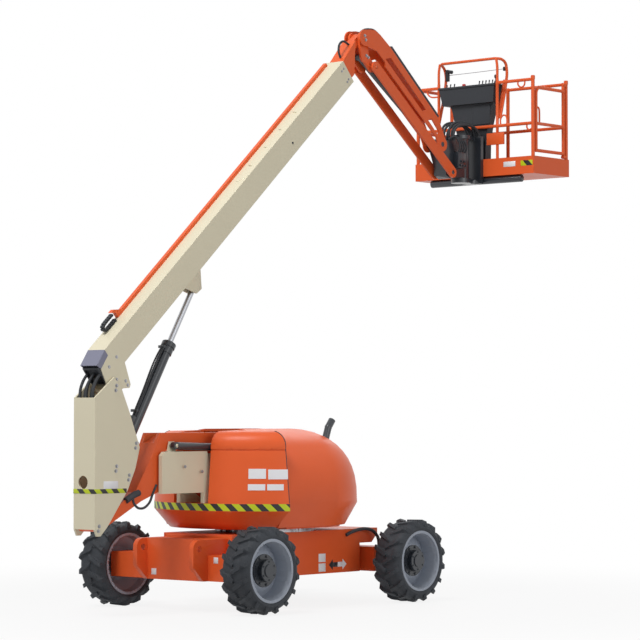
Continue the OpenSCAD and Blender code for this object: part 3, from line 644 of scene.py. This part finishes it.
def makeHub(name, ahead, side):
    body = "wheel_" + name
    x, z = ahead * hub["axleX"], hub["axleZ"]
    face = side * (hub["trackY"] + hub["face"])
    end = side * (hub["trackY"] + hub["end"])
    rim = face + side * hub["flangeThick"]
    drum = addDrum((x, face, z), (x, end, z), *hub["drum"])
    cap = addDrum((x, end, z), (x, end + side * hub["capThick"], z), *hub["cap"])
    flange = addDrum((x, face, z), (x, rim, z), *hub["flange"])
    finished(joined([drum, cap, flange]), name + "Hub", body, "black_paint")
    nuts = ring((x, z), hub["nutCircle"], hub["nuts"], rim)
    boltSet(name + "Nuts", body, "black_paint", nuts, (0, side, 0), hub["nutRadius"])
    bolts = ring((x, z), hub["boltCircle"], hub["bolts"], end + side * hub["boltLift"], 0.5)
    boltSet(name + "CapBolts", body, "black_paint", bolts, (0, side, 0), hub["boltRadius"])


for wheelName, (ahead, side) in wheelSpots.items():
    makeHub(wheelName, ahead, side)
print("hubs on")

# Upright: keeper bolts on both faces
bothSides = ((-1, "Right"), (1, "Left"))
uprightBolts = {"half": 0.155, "radius": 0.013, "slant": 0.006, "step": 0.024,
                "pins": [(-2.466, 1.518), (-2.281, 1.423), (-2.179, 1.751), (-2.47, 2.345), (-2.715, 0.91)]}


def makeUprightBolts(setup):
    for side, label in bothSides:
        places = [(x + lean * setup["slant"], side * setup["half"], z + lean * setup["step"])
                  for x, z in setup["pins"] for lean in (-1, 1)]
        boltSet("uprightBolts" + label, "upright", "steel", places, (0, side, 0), setup["radius"])


makeUprightBolts(uprightBolts)

# Axes of the boom and of the jib: s along it from its pin, n square to it
boomAxes = {"pin": (-2.472, 2.365), "angle": math.radians(41.5)}
jibAxes = {"pin": (1.596, 6.410), "angle": math.radians(-37.6)}


def onAxes(axes, s, y, n):
    (x, z), angle = axes["pin"], axes["angle"]
    return (x + s * math.cos(angle) - n * math.sin(angle), y, z + s * math.sin(angle) + n * math.cos(angle))


def onBoom(s, y, n):
    return onAxes(boomAxes, s, y, n)


def onJib(s, y, n):
    return onAxes(jibAxes, s, y, n)


boomLow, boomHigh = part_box("boom_base")
heelBolts = {
    "heelBolts": {"radius": 0.012, "height": 0.5,
                  "spots": [(0.228, 0.198), (0.08, 0.191), (0.166, -0.074), (0.161, -0.127)]},
    "pinBolts": {"radius": 0.012, "height": 1.0,
                 "spots": [(0.027, 0.061), (0.075, 0.024), (0.047, -0.009), (0.013, -0.047)]},
}


def makeBoomBolts(sets):
    for side, label in bothSides:
        y = boomHigh[1] if side > 0 else boomLow[1]
        for name, setup in sets.items():
            places = [onBoom(s, y, n) for s, n in setup["spots"]]
            boltSet(name + label, "boom", "steel", places, (0, side, 0), setup["radius"], setup["height"])


makeBoomBolts(heelBolts)
print("boom and upright bolts on")


# Smooth line through given points, and a hose along it
def smoothLine(points, steps=6):
    places = [Vector(p) for p in points]
    places = [2 * places[0] - places[1]] + places + [2 * places[-1] - places[-2]]
    line = []
    for a, b, c, d in zip(places, places[1:], places[2:], places[3:]):
        for i in range(steps):
            t = i / steps
            line.append(0.5 * (2 * b + (c - a) * t + (2 * a - 5 * b + 4 * c - d) * t * t
                               + (3 * b - a - 3 * c + d) * t * t * t))
    return line + [places[-2]]


def lineLength(line):
    return sum((b - a).length for a, b in zip(line, line[1:]))


def placeAlong(line, distance):
    for a, b in zip(line, line[1:]):
        step = (b - a).length
        if distance <= step:
            return a + (b - a) * (distance / step)
        distance -= step
    return line[-1]


def flat(points, y):
    return [(x, y, z) for x, z in points]


def makeHose(points, radius):
    line = smoothLine(points)
    begin()
    bpy.ops.curve.primitive_nurbs_path_add()
    path = bpy.context.object
    spline = path.data.splines[0]
    spline.type = "POLY"
    spline.points.add(len(line) - len(spline.points))
    for point, place in zip(spline.points, line):
        point.co = (*place, 1.0)
    path.data.bevel_depth = radius
    path.data.bevel_resolution = 3
    path.data.use_fill_caps = True
    focus(path)
    bpy.ops.object.convert(target="MESH")
    return settled(bpy.context.object)


hoseRubber = rubber("hoseRubber", linear(36, 38, 42), linear(70, 72, 78))


def fixedHose(name, body, points, radius):
    return finished(makeHose(points, radius), name, body, "black_plastic", hoseRubber)


def freeHose(name, body, points, radius):
    piece = fixedHose(name, body, points, radius)
    line = smoothLine(points)
    lineLength(line)


def bentHose(name, bodies, points, radius):
    piece = fixedHose(name, bodies[0], points, radius)
    piece.parent = None
    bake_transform(piece)


gooseneck = {
    "side": -0.13, "loopRadius": 0.013, "sleeveRadius": 0.034,
    "loop": [(-2.20, 1.235), (-2.185, 1.16), (-2.12, 1.105), (-2.03, 1.105), (-1.95, 1.16), (-1.905, 1.245),
             (-1.85, 1.34)],
    "sleeve": [(-2.30, 1.185), (-2.26, 1.205), (-2.22, 1.225), (-2.17, 1.245), (-2.11, 1.262)],
}
freeHose("gooseneckHose", "tower_upper", flat(gooseneck["loop"], gooseneck["side"]), gooseneck["loopRadius"])
fixedHose("gooseneckSleeve", "tower_upper", flat(gooseneck["sleeve"], gooseneck["side"]),
          gooseneck["sleeveRadius"])

heelHoses = {
    "count": 7, "spread": 0.031, "radius": 0.016, "lift": 0.02, "drop": 0.6,
    "route": [(-2.73, 2.15), (-2.745, 2.25), (-2.735, 2.34), (-2.69, 2.43), (-2.615, 2.505), (-2.52, 2.57),
              (-2.38, 2.65)],
    "reach": [(-2.70, 2.28), (-2.50, 2.57)],
}


def makeHeelHoses(setup):
    for i in range(setup["count"]):
        y = (i - (setup["count"] - 1) / 2) * setup["spread"]
        lift = setup["lift"] * (i % 3)
        points = [(x + lift, y, z - lift * setup["drop"]) for x, z in setup["route"]]
        bentHose("heelHose%d" % (i + 1), ("upright", "boom"), points, setup["radius"])


makeHeelHoses(heelHoses)
print("hoses on")


# Bars and tapers along a line
def along(start, end):
    axis = (Vector(end) - Vector(start)).normalized()
    side = Vector((0, 0, 1)).cross(axis).normalized()
    turn = Matrix((axis, side, axis.cross(side))).transposed().to_4x4()
    return Matrix.Translation((Vector(start) + Vector(end)) / 2) @ turn


def addBar(start, end, wide, tall, bevel):
    half = (Vector(end) - Vector(start)).length / 2
    piece = addBlock((-half, -wide / 2, -tall / 2), (half, wide / 2, tall / 2), bevel)
    piece.matrix_world = along(start, end)
    return settled(piece)


taperCap = {"rim": 0.3, "crown": 0.2}     # shares of the upper radius


def addTaper(start, end, lowRadius, highRadius, sides):
    begin()
    axis = Vector(end) - Vector(start)
    bpy.ops.mesh.primitive_cone_add(vertices=sides, radius1=lowRadius, radius2=highRadius, depth=axis.length,
                                    location=(Vector(start) + Vector(end)) / 2,
                                    rotation=axis.to_track_quat("Z", "Y").to_euler())
    piece = settled(bpy.context.object)
    return raised(piece, isCap, highRadius * taperCap["rim"], highRadius * taperCap["crown"])


# Boom: cable chain at the heel, hose loop at the nose, end bolts, tabs, and a black disc on the side as
# painted shade in a hole
heelChain = {
    "side": 0.075, "count": 13, "steps": 8, "fill": (0.06, 0.94), "wide": 0.05, "tall": 0.027, "bevel": 0.004,
    "rim": 0.006, "sunk": 0.004,
    "line": [(0.62, 0.381), (0.52, 0.381), (0.44, 0.384), (0.41, 0.415), (0.44, 0.446), (0.52, 0.45),
             (0.615, 0.45)],
}


def makeHeelChain(setup):
    line = smoothLine([onBoom(s, setup["side"], n) for s, n in setup["line"]], setup["steps"])
    step = lineLength(line) / setup["count"]
    links = []
    for i in range(setup["count"]):
        ends = [placeAlong(line, step * (i + share)) for share in setup["fill"]]
        link = addBar(ends[0], ends[1], setup["wide"], setup["tall"], setup["bevel"])
        raised(link, lambda face: abs(face.normal.y) > 0.9 and face.area > 0.0002,
               setup["rim"], -setup["sunk"])
        links.append(link)
    return finished(joined(links), "heelChain", "boom", "black_plastic")


noseLoop = {"side": -0.03, "radius": 0.013,
            "line": [(5.30, 0.366), (5.325, 0.44), (5.39, 0.49), (5.47, 0.475), (5.525, 0.385)]}
endBolts = {"boomEndBolts": {"radius": 0.009, "height": 1.0,
                             "spots": [(5.172, 0.293), (5.124, 0.291), (5.123, 0.144), (5.161, 0.153)]}}
topTabs = {
    "top": 0.3655, "tabs": (4.25, 3.925, 3.595, 3.265), "side": (-0.045, 0.005), "slant": 0.012,
    "wide": 0.022, "tall": 0.008, "bevel": 0.002,
    "seam": [(2.975, 0.0), (2.985, -0.04), (3.02, -0.08), (3.08, -0.112)], "seamRadius": 0.004,
}
sideHoleShade = {"spot": (3.9, 0.19), "inside": 0.004, "outside": 0.002, "drum": (0.014, 20, 0.001)}


def makeTopTabs(setup):
    (near, far), top = setup["side"], setup["top"]
    pieces = [addBar(onBoom(s, near, top), onBoom(s + setup["slant"], far, top), setup["wide"], setup["tall"],
                     setup["bevel"]) for s in setup["tabs"]]
    pieces.append(makeHose([onBoom(s, y, top) for s, y in setup["seam"]], setup["seamRadius"]))
    finished(joined(pieces), "boomTabs", "boom", "cream_paint")


def makeSideHoleShade(setup):
    # a black disc where the side shows a hole: painted shade
    (s, n), face = setup["spot"], boomLow[1]
    ends = onBoom(s, face + setup["inside"], n), onBoom(s, face - setup["outside"], n)
    holeShade = addDrum(*ends, *setup["drum"])
    finished(holeShade, "boomHoleShade", "boom", "black_plastic")


makeHeelChain(heelChain)
fixedHose("noseHose", "fly", [onBoom(s, noseLoop["side"], n) for s, n in noseLoop["line"]],
          noseLoop["radius"])
makeBoomBolts(endBolts)
makeTopTabs(topTabs)
makeSideHoleShade(sideHoleShade)
print("boom trim on")

# Lift cylinder: two hydraulic pipes, their clamps and block, and the gland at the rod's end
liftTrim = {
    "base": (-2.168, 1.768), "way": (0.52, 0.854), "square": (-0.854, 0.52),
    "pipes": (-0.034, -0.008), "pipeLean": 0.3, "pipeRadius": 0.010,
    "bulge": [(0.24, 0.072), (0.36, 0.08), (0.60, 0.086), (0.85, 0.102), (1.0, 0.102), (1.12, 0.09),
              (1.2, 0.07)],
    "off": 0.075, "clamps": (0.36, 1.15), "clampHalf": 0.045, "clampSize": 0.03, "clampBevel": 0.004,
    "gland": (1.185, 1.235), "glandDrum": (0.078, 40, 0.004),
    "block": (0.16, 0.29), "blockWide": 0.09, "blockTall": 0.05, "blockBevel": 0.005,
}


def onLift(t, y, off):
    base, way, square = liftTrim["base"], liftTrim["way"], liftTrim["square"]
    return (base[0] + t * way[0] + off * square[0], y, base[1] + t * way[1] + off * square[1])


def makeLiftTrim(setup):
    pipes = []
    for y in setup["pipes"]:
        bent = [onLift(t, y, off + y * setup["pipeLean"]) for t, off in setup["bulge"]]
        pipes.append(makeHose(bent, setup["pipeRadius"]))
    finished(joined(pipes), "liftHoses", "lift_cylinder", "black_plastic", hoseRubber)
    off, half, size = setup["off"], setup["clampHalf"], setup["clampSize"]
    fittings = [addBar(onLift(t, -half, off), onLift(t, half, off), size, size, setup["clampBevel"])
                for t in setup["clamps"]]
    low, high = (onLift(t, 0, 0) for t in setup["gland"])
    fittings.append(addDrum(low, high, *setup["glandDrum"]))
    low, high = (onLift(t, 0, off) for t in setup["block"])
    fittings.append(addBar(low, high, setup["blockWide"], setup["blockTall"], setup["blockBevel"]))
    finished(joined(fittings), "liftFittings", "lift_cylinder", "black_paint")


makeLiftTrim(liftTrim)
print("lift cylinder trim on")

# Jib: hose track on the arm's back, hoses over its pin, pin keepers
jibTrim = {
    "track": ((0.42, 0.252), (1.58, 0.210)), "side": -0.077, "wide": 0.074, "tall": 0.042, "bevel": 0.006,
    "rim": 0.012, "sunk": 0.018,
    "hoses": (-0.088, -0.062), "hoseRadius": 0.011, "hoseStep": 0.004,
    "over": [(1.535, 6.41), (1.58, 6.475), (1.67, 6.518), (1.79, 6.522), (1.90, 6.465), (1.99, 6.385),
             (2.07, 6.32)],
    "reach": [(1.54, 6.50), (1.80, 6.53)],
    "keepers": [(-0.022, 0.012), (0.02, -0.014)], "keeperSide": 0.12, "keeperRadius": 0.012,
    "bracketPins": [(1.655, 6.212), (1.69, 6.194)], "bracketSide": 0.086,
}


def makeJibTrim(setup):
    ends = [onJib(s, setup["side"], n) for s, n in setup["track"]]
    track = addBar(ends[0], ends[1], setup["wide"], setup["tall"], setup["bevel"])
    raised(track, looking((0, 0, 1), 0.5, 0.05), setup["rim"], -setup["sunk"])
    finished(track, "jibTrack", "jib_arm", "black_plastic")
    for i, y in enumerate(setup["hoses"]):
        points = [(x, y, z + setup["hoseStep"] * i) for x, z in setup["over"]]
        bentHose("jibHose%d" % (i + 1), ("jib_bracket", "jib_arm"), points, setup["hoseRadius"])
    for side, label in bothSides:
        facing, radius = (0, side, 0), setup["keeperRadius"]
        places = [onJib(s, side * setup["keeperSide"], n) for s, n in setup["keepers"]]
        boltSet("jibKeepers" + label, "jib_arm", "steel", places, facing, radius)
        places = flat(setup["bracketPins"], side * setup["bracketSide"])
        boltSet("bracketKeepers" + label, "jib_bracket", "steel", places, facing, radius)


makeJibTrim(jibTrim)
print("jib trim on")

# Chassis and turntable: front hose, seals beside the doors, riser bolts
frontHose = {"radius": 0.019,
             "line": [(0.78, -0.512, 0.735), (0.86, -0.522, 0.765), (0.98, -0.528, 0.79),
                      (1.10, -0.538, 0.795), (1.21, -0.548, 0.765), (1.285, -0.556, 0.69),
                      (1.30, -0.56, 0.592)]}
doorSeal = {"x": -0.711, "radius": 0.006, "levels": (1.135, 1.32, 1.51, 1.69),
            "bend": 0.16, "bendZ": 1.74, "turns": (0, 15, 30, 45, 60, 75)}
riserBolts = {"radius": 0.011, "places": [(-1.518, -0.23, 1.524), (-1.255, -0.23, 1.47)]}


def makeSeal(name, side, setup):
    x, radius, bend = setup["x"], setup["radius"], setup["bend"]
    profile = [(doorAt(z), z) for z in setup["levels"]]
    for turn in setup["turns"]:
        angle = math.radians(turn)
        inward = bend * (1 - math.cos(angle))
        profile.append((doorRadius["high"] - inward, setup["bendZ"] + bend * math.sin(angle)))
    points = [(x, side * (math.sqrt(r * r - x ** 2) - radius), z) for r, z in profile]
    fixedHose(name, "turntable", points, radius)


fixedHose("frontHose", "chassis", frontHose["line"], frontHose["radius"])
makeSeal("sealRight", -1, doorSeal)
makeSeal("sealLeft", 1, doorSeal)
boltSet("riserBolts", "turntable", "steel", riserBolts["places"], (0, -1, 0), riserBolts["radius"])
print("frame trim on")

# Console: lid, switches, stick and stop button
console = {
    "x": 3.885, "toggles": (-0.03, -0.08, -0.13, -0.18, -0.23),
    "keys": (0.45, 0.39, 0.33), "keyBack": 0.03, "keyDrop": 0.01, "button": 0.20, "stick": -0.285,
    "lid": ((3.786, -0.325, 6.058), (3.984, 0.53, 6.086)), "lidBevel": 0.008, "lidRim": 0.014,
    "lidSunk": 0.006,
    "panel": ((3.853, -0.22, 5.60), (3.862, 0.06, 5.84)), "panelBevel": 0.003, "panelRim": 0.012,
    "panelSunk": 0.003,
}
consoleTapers = {
    "toggle": {"end": (0.012, 0.060), "low": 0.012, "radii": (0.005, 0.009), "sides": 12},
    "stick": {"end": (0.0, 0.045), "low": -0.002, "radii": (0.036, 0.014), "sides": 20},
}
# Low and high end over the lid, then the drum
consoleDrums = {
    "toggle": [(-0.004, 0.014, (0.014, 16, 0.002))],
    "stick": [(0.04, 0.085, (0.009, 14, 0.002)), (0.08, 0.112, (0.019, 20, 0.006))],
    "button": [(-0.002, 0.018, (0.012, 20, 0.002)), (0.016, 0.036, (0.023, 24, 0.005))],
}
stopRed = plastic("stopRed", linear(190, 32, 30), rough=0.4, grainScale=600.0, lift=0.05)


def standing(x, y, z, drums):
    return [addDrum((x, y, z + low), (x, y, z + high), *drum) for low, high, drum in drums]


def leaning(x, y, z, taper):
    ahead, high = taper["end"]
    return addTaper((x, y, z + taper["low"]), (x + ahead, y, z + high), *taper["radii"], taper["sides"])


def makeConsole(setup):
    lid = addBlock(*setup["lid"], setup["lidBevel"])
    raised(lid, looking((0, 0, 1), 0.99, 0.05), setup["lidRim"], -setup["lidSunk"])
    finished(lid, "consoleLid", "platform", "black_plastic")
    panel = addBlock(*setup["panel"], setup["panelBevel"])
    raised(panel, looking((-1, 0, 0), 0.99, 0.02), setup["panelRim"], -setup["panelSunk"])
    finished(panel, "consolePanel", "platform", "black_plastic")
    x, top = setup["x"], setup["lid"][1][2] - setup["lidSunk"]
    toggle = standing(0, 0, 0, consoleDrums["toggle"])
    toggle = joined(toggle + [leaning(0, 0, 0, consoleTapers["toggle"])])
    places = [(x, y, top) for y in setup["toggles"]]
    places += [(x - setup["keyBack"], y, top - setup["keyDrop"]) for y in setup["keys"]]
    toggles = [copied(toggle, Matrix.Translation(place)) for place in places]
    finished(joined(toggles), "consoleToggles", "platform", "black_plastic")
    discard(toggle)
    boot = leaning(x, setup["stick"], top, consoleTapers["stick"])
    stick = joined([boot] + standing(x, setup["stick"], top, consoleDrums["stick"]))
    finished(stick, "consoleStick", "platform", "black_plastic")
    button = joined(standing(x, setup["button"], top, consoleDrums["button"]))
    finished(button, "stopButton", "platform", "black_plastic", stopRed)


makeConsole(console)
print("console trim on")

# Guard loop over the console: a bent tube on two posts, its switch and trip wire
guardLoop = {
    "x": 3.834, "top": 6.388, "left": 0.57, "right": -0.365, "middle": 0.1, "tube": 0.0175,
    "leg": [(0.03, 5.66), (0.11, 5.93), (0.165, 6.17), (0.165, 6.27), (0.135, 6.345)],   # ahead of x, height
    "corner": [(0.07, 0.012, -0.006), (0.012, 0.06, 0.0), (0.0, 0.14, 0.0)],             # ahead, inward, up
    "posts": (0.55, -0.345), "postTube": 0.0165, "postFoot": railCut - 0.01, "postBend": 6.28,
    "postAhead": 0.002, "postLean": 0.0165,
}
tripSwitch = {
    "box": ((3.969, 0.515, 6.19), (4.014, 0.558, 6.335)), "boxBevel": 0.008,
    "head": ((3.991, 0.55, 6.315), (3.991, 0.465, 6.30)), "headDrum": (0.022, 20, 0.005),
    "anchor": ((3.979, -0.353, 6.25), (4.011, -0.32, 6.30)), "anchorBevel": 0.006,
    "wire": [(3.993, 0.52, 6.265), (3.993, 0.1, 6.268), (3.993, -0.325, 6.275)], "wireRadius": 0.004,
}


def makeGuardLoop(setup):
    x, top = setup["x"], setup["top"]
    halves = []
    for y, inward in ((setup["left"], -1), (setup["right"], 1)):
        leg = [(x + ahead, y, z) for ahead, z in setup["leg"]]
        halves.append(leg + [(x + ahead, y + inward * near, top + up) for ahead, near, up in setup["corner"]])
    points = halves[0] + [(x, setup["middle"], top)] + halves[1][::-1]
    tubes = [makeHose(points, setup["tube"])]
    for y in setup["posts"]:
        lean = math.copysign(setup["postLean"], y)
        post = [(x, y, setup["postFoot"]), (x, y, setup["postBend"]), (x + setup["postAhead"], y - lean, top)]
        tubes.append(makeHose(post, setup["postTube"]))
    finished(joined(tubes), "guardLoop", "platform", "orange_paint")


def makeTripSwitch(setup):
    pieces = [addBlock(*setup["box"], setup["boxBevel"]),
              addDrum(*setup["head"], *setup["headDrum"]),
              addBlock(*setup["anchor"], setup["anchorBevel"])]
    finished(joined(pieces), "tripSwitch", "platform", "black_plastic")
    finished(makeHose(setup["wire"], setup["wireRadius"]), "tripWire", "platform", "steel")


makeGuardLoop(guardLoop)
makeTripSwitch(tripSwitch)

# Rings, caps and a plate on the rails, and the gate's latch
railTrim = {
    "back": 3.834, "side": -0.875, "ringTube": 0.010,
    "rings": [[(-0.395, 5.575), (-0.393, 5.64), (-0.43, 5.685), (-0.475, 5.675), (-0.49, 5.62),
               (-0.485, 5.575)],
              [(-0.865, 5.50), (-0.815, 5.485), (-0.785, 5.515), (-0.79, 5.565)],
              [(-0.66, 6.105), (-0.655, 6.04), (-0.70, 6.005), (-0.75, 6.03), (-0.755, 6.105)],
              [(0.745, 6.10), (0.72, 6.03), (0.66, 5.99), (0.55, 5.985)]],
    "plate": ((3.808, -0.455, 5.335), (3.832, -0.20, 5.478)), "plateBevel": 0.003,
    "caps": [(3.834, -0.875), (4.519, -0.875), (4.519, 0.875), (3.834, 0.875)], "capZ": (6.088, 6.130),
    "capDrum": (0.026, 24, 0.005),
    "latch": [(3.965, 5.56), (3.965, 5.70), (3.955, 5.745), (3.925, 5.76), (3.894, 5.76)], "latchTube": 0.011,
}


def makeRailTrim(setup):
    pieces = []
    for line in setup["rings"]:
        pieces.append(makeHose([(setup["back"], y, z) for y, z in line], setup["ringTube"]))
    pieces.append(addBlock(*setup["plate"], setup["plateBevel"]))
    low, high = setup["capZ"]
    for x, y in setup["caps"]:
        pieces.append(addDrum((x, y, low), (x, y, high), *setup["capDrum"]))
    finished(joined(pieces), "railRings", "platform", "orange_paint")
    latch = makeHose(flat(setup["latch"], setup["side"]), setup["latchTube"])
    finished(latch, "gateLatch", "gate", "orange_paint")


makeRailTrim(railTrim)
print("rail trim on")

# Rotator: valve block with fittings, hoses up its side and over the turning axis
rotator = {
    "hoses": (-0.115, -0.08, -0.045, -0.01, 0.03, 0.075), "radius": 0.015, "lift": 0.018, "step": 0.01,
    "over": [(3.27, 5.36), (3.265, 5.43), (3.305, 5.505), (3.39, 5.55), (3.50, 5.565), (3.62, 5.56),
             (3.725, 5.52), (3.782, 5.44)],
    "reach": [(3.42, 5.6), (3.69, 5.6)],
}
valve = {
    "block": ((3.30, -0.165, 5.03), (3.44, -0.088, 5.22)), "bevel": 0.006,
    "ports": [(3.325, 5.06), (3.37, 5.06), (3.415, 5.06), (3.345, 5.11), (3.395, 5.11)],
    "portIn": 0.004, "portOut": 0.022, "portDrum": (0.014, 12, 0.003),
    "hoses": 4, "hoseX": 3.32, "hoseStep": 0.035, "fan": 0.5, "outward": 0.006, "hoseRadius": 0.011,
    "rise": [(0, 5.20, -0.128), (0.004, 5.27, -0.165), (-0.02, 5.36, -0.158), (-0.07, 5.40, -0.12),
             (-0.10, 5.365, -0.08)],
}


def makeRotator(setup):
    last = len(setup["over"]) - 1
    for i, y in enumerate(setup["hoses"]):
        lift, ahead = setup["lift"] * (i % 3), setup["step"] * (i % 2)
        points = [(x + ahead, y, z + (lift if 0 < j < last else 0)) for j, (x, z) in enumerate(setup["over"])]
        bentHose("rotatorHose%d" % (i + 1), ("platform_support", "platform"), points, setup["radius"])


def makeValve(setup):
    pieces = [addBlock(*setup["block"], setup["bevel"])]
    face = setup["block"][0][1]
    for x, z in setup["ports"]:
        ends = (x, face + setup["portIn"], z), (x, face - setup["portOut"], z)
        pieces.append(addDrum(*ends, *setup["portDrum"]))
    finished(joined(pieces), "rotatorValve", "platform_support", "black_paint")
    for i in range(setup["hoses"]):
        x, fan = setup["hoseX"] + setup["hoseStep"] * i, 1 + setup["fan"] * i
        points = [(x + ahead * fan, y - setup["outward"] * i, z) for ahead, z, y in setup["rise"]]
        fixedHose("valveHose%d" % (i + 1), "platform_support", points, setup["hoseRadius"])


makeRotator(rotator)
makeValve(valve)
print("rotator trim on")

# Heel: a black block under the cover, where the hoses go in, as painted shade for the heel's dark interior
heelShadeBlock = {"from": (-2.662, 0, 2.575), "to": (-2.53, 0, 2.41), "wide": 0.225, "tall": 0.10, "bevel": 0.008,
              "rim": 0.015, "sunk": 0.02}


def makeHeelShadeBlock(setup):
    # black block: painted shade inside the heel
    shroud = addBar(setup["from"], setup["to"], setup["wide"], setup["tall"], setup["bevel"])
    raised(shroud, looking((-1, 0, 0), 0.5, 0.01), setup["rim"], -setup["sunk"])
    finished(shroud, "heelShadeBlock", "boom", "black_plastic")


makeHeelShadeBlock(heelShadeBlock)


# Studio: floor, world and soft lamps
studio = {
    "floorSize": 60.0,
    "floorDrop": 0.002,
    "floorColour": (0.6, 0.6, 0.6),
    "floorRough": 0.6,
    "floorGlow": 0.86,    # share of the floor that stays white, the rest takes the shadow
    "fade": (2.6, 9.0),   # metres from the middle over which the floor turns all white
    "skyStrength": 0.36,
    "key": {"place": (-9.5, -0.5, 16.5), "aim": (0.0, 0.0, 2.5), "size": 6.0, "power": 1850.0},
    "fill": {"place": (-3.0, -22.0, 7.0), "aim": (0.5, 0.0, 2.5), "size": 12.0, "power": 900.0},
    "rim": {"place": (12.0, 8.0, 10.0), "aim": (1.0, 0.0, 3.0), "size": 8.0, "power": 250.0},
}


def showsBackdrop(place):
    path = place.tree.nodes.new("ShaderNodeLightPath")
    seen = Shade(place.tree, path.outputs["Is Camera Ray"])
    mirrored = Shade(place.tree, path.outputs["Is Glossy Ray"])
    through = Shade(place.tree, path.outputs["Is Transmission Ray"])
    return seen.calc("MAXIMUM", seen.calc("MAXIMUM", seen, mirrored), through)


def makeWorld(strength):
    world = bpy.data.worlds.new("studioSky")
    bpy.context.scene.world = world
    world.use_nodes = True
    tree = world.node_tree
    background = next(n for n in tree.nodes if n.type == "BACKGROUND")
    background.inputs["Color"].default_value = (1, 1, 1, 1)
    power = showsBackdrop(Shade(tree, None)) * (1.0 - strength) + strength
    tree.links.new(power.socket, background.inputs["Strength"])


def makeLamp(name, setup):
    data = bpy.data.lights.new(name, "AREA")
    data.size = setup["size"]
    data.energy = setup["power"]
    lamp = bpy.data.objects.new(name, data)
    bpy.context.scene.collection.objects.link(lamp)
    lamp.location = setup["place"]
    aim = Vector(setup["aim"]) - Vector(setup["place"])
    lamp.rotation_euler = aim.to_track_quat("-Z", "Y").to_euler()


def makeFloor(setup):
    begin()
    bpy.ops.mesh.primitive_plane_add(size=setup["floorSize"], location=(0, 0, -setup["floorDrop"]))
    floor = bpy.context.object
    floor.name = "studioFloor"
    made, tree, shader, place = startMaterial("paleFloor")
    feed(tree, shader, colour=setup["floorColour"], rough=setup["floorRough"])
    output = next(n for n in tree.nodes if n.type == "OUTPUT_MATERIAL")
    glow = place.node("ShaderNodeEmission", {}, {"Color": (1, 1, 1), "Strength": 1.0})
    spread = place.node("ShaderNodeVectorMath", {"operation": "LENGTH"}, {0: place}, 1)
    fade = place.node("ShaderNodeMapRange", {"interpolation_type": "SMOOTHSTEP"},
                      {"Value": spread, "From Min": setup["fade"][0], "From Max": setup["fade"][1],
                       "To Min": setup["floorGlow"], "To Max": 1.0})
    bright = showsBackdrop(place) * fade
    mixer = place.node("ShaderNodeMixShader", {}, {0: bright, 1: Shade(tree, shader.outputs[0]), 2: glow})
    tree.links.new(mixer.socket, output.inputs["Surface"])
    floor.data.materials.append(made)


makeWorld(studio["skyStrength"])
for lampName in ("key", "fill", "rim"):
    makeLamp(lampName + "Lamp", studio[lampName])
makeFloor(studio)
bpy.context.scene.view_settings.view_transform = "Standard"
print("studio ready")
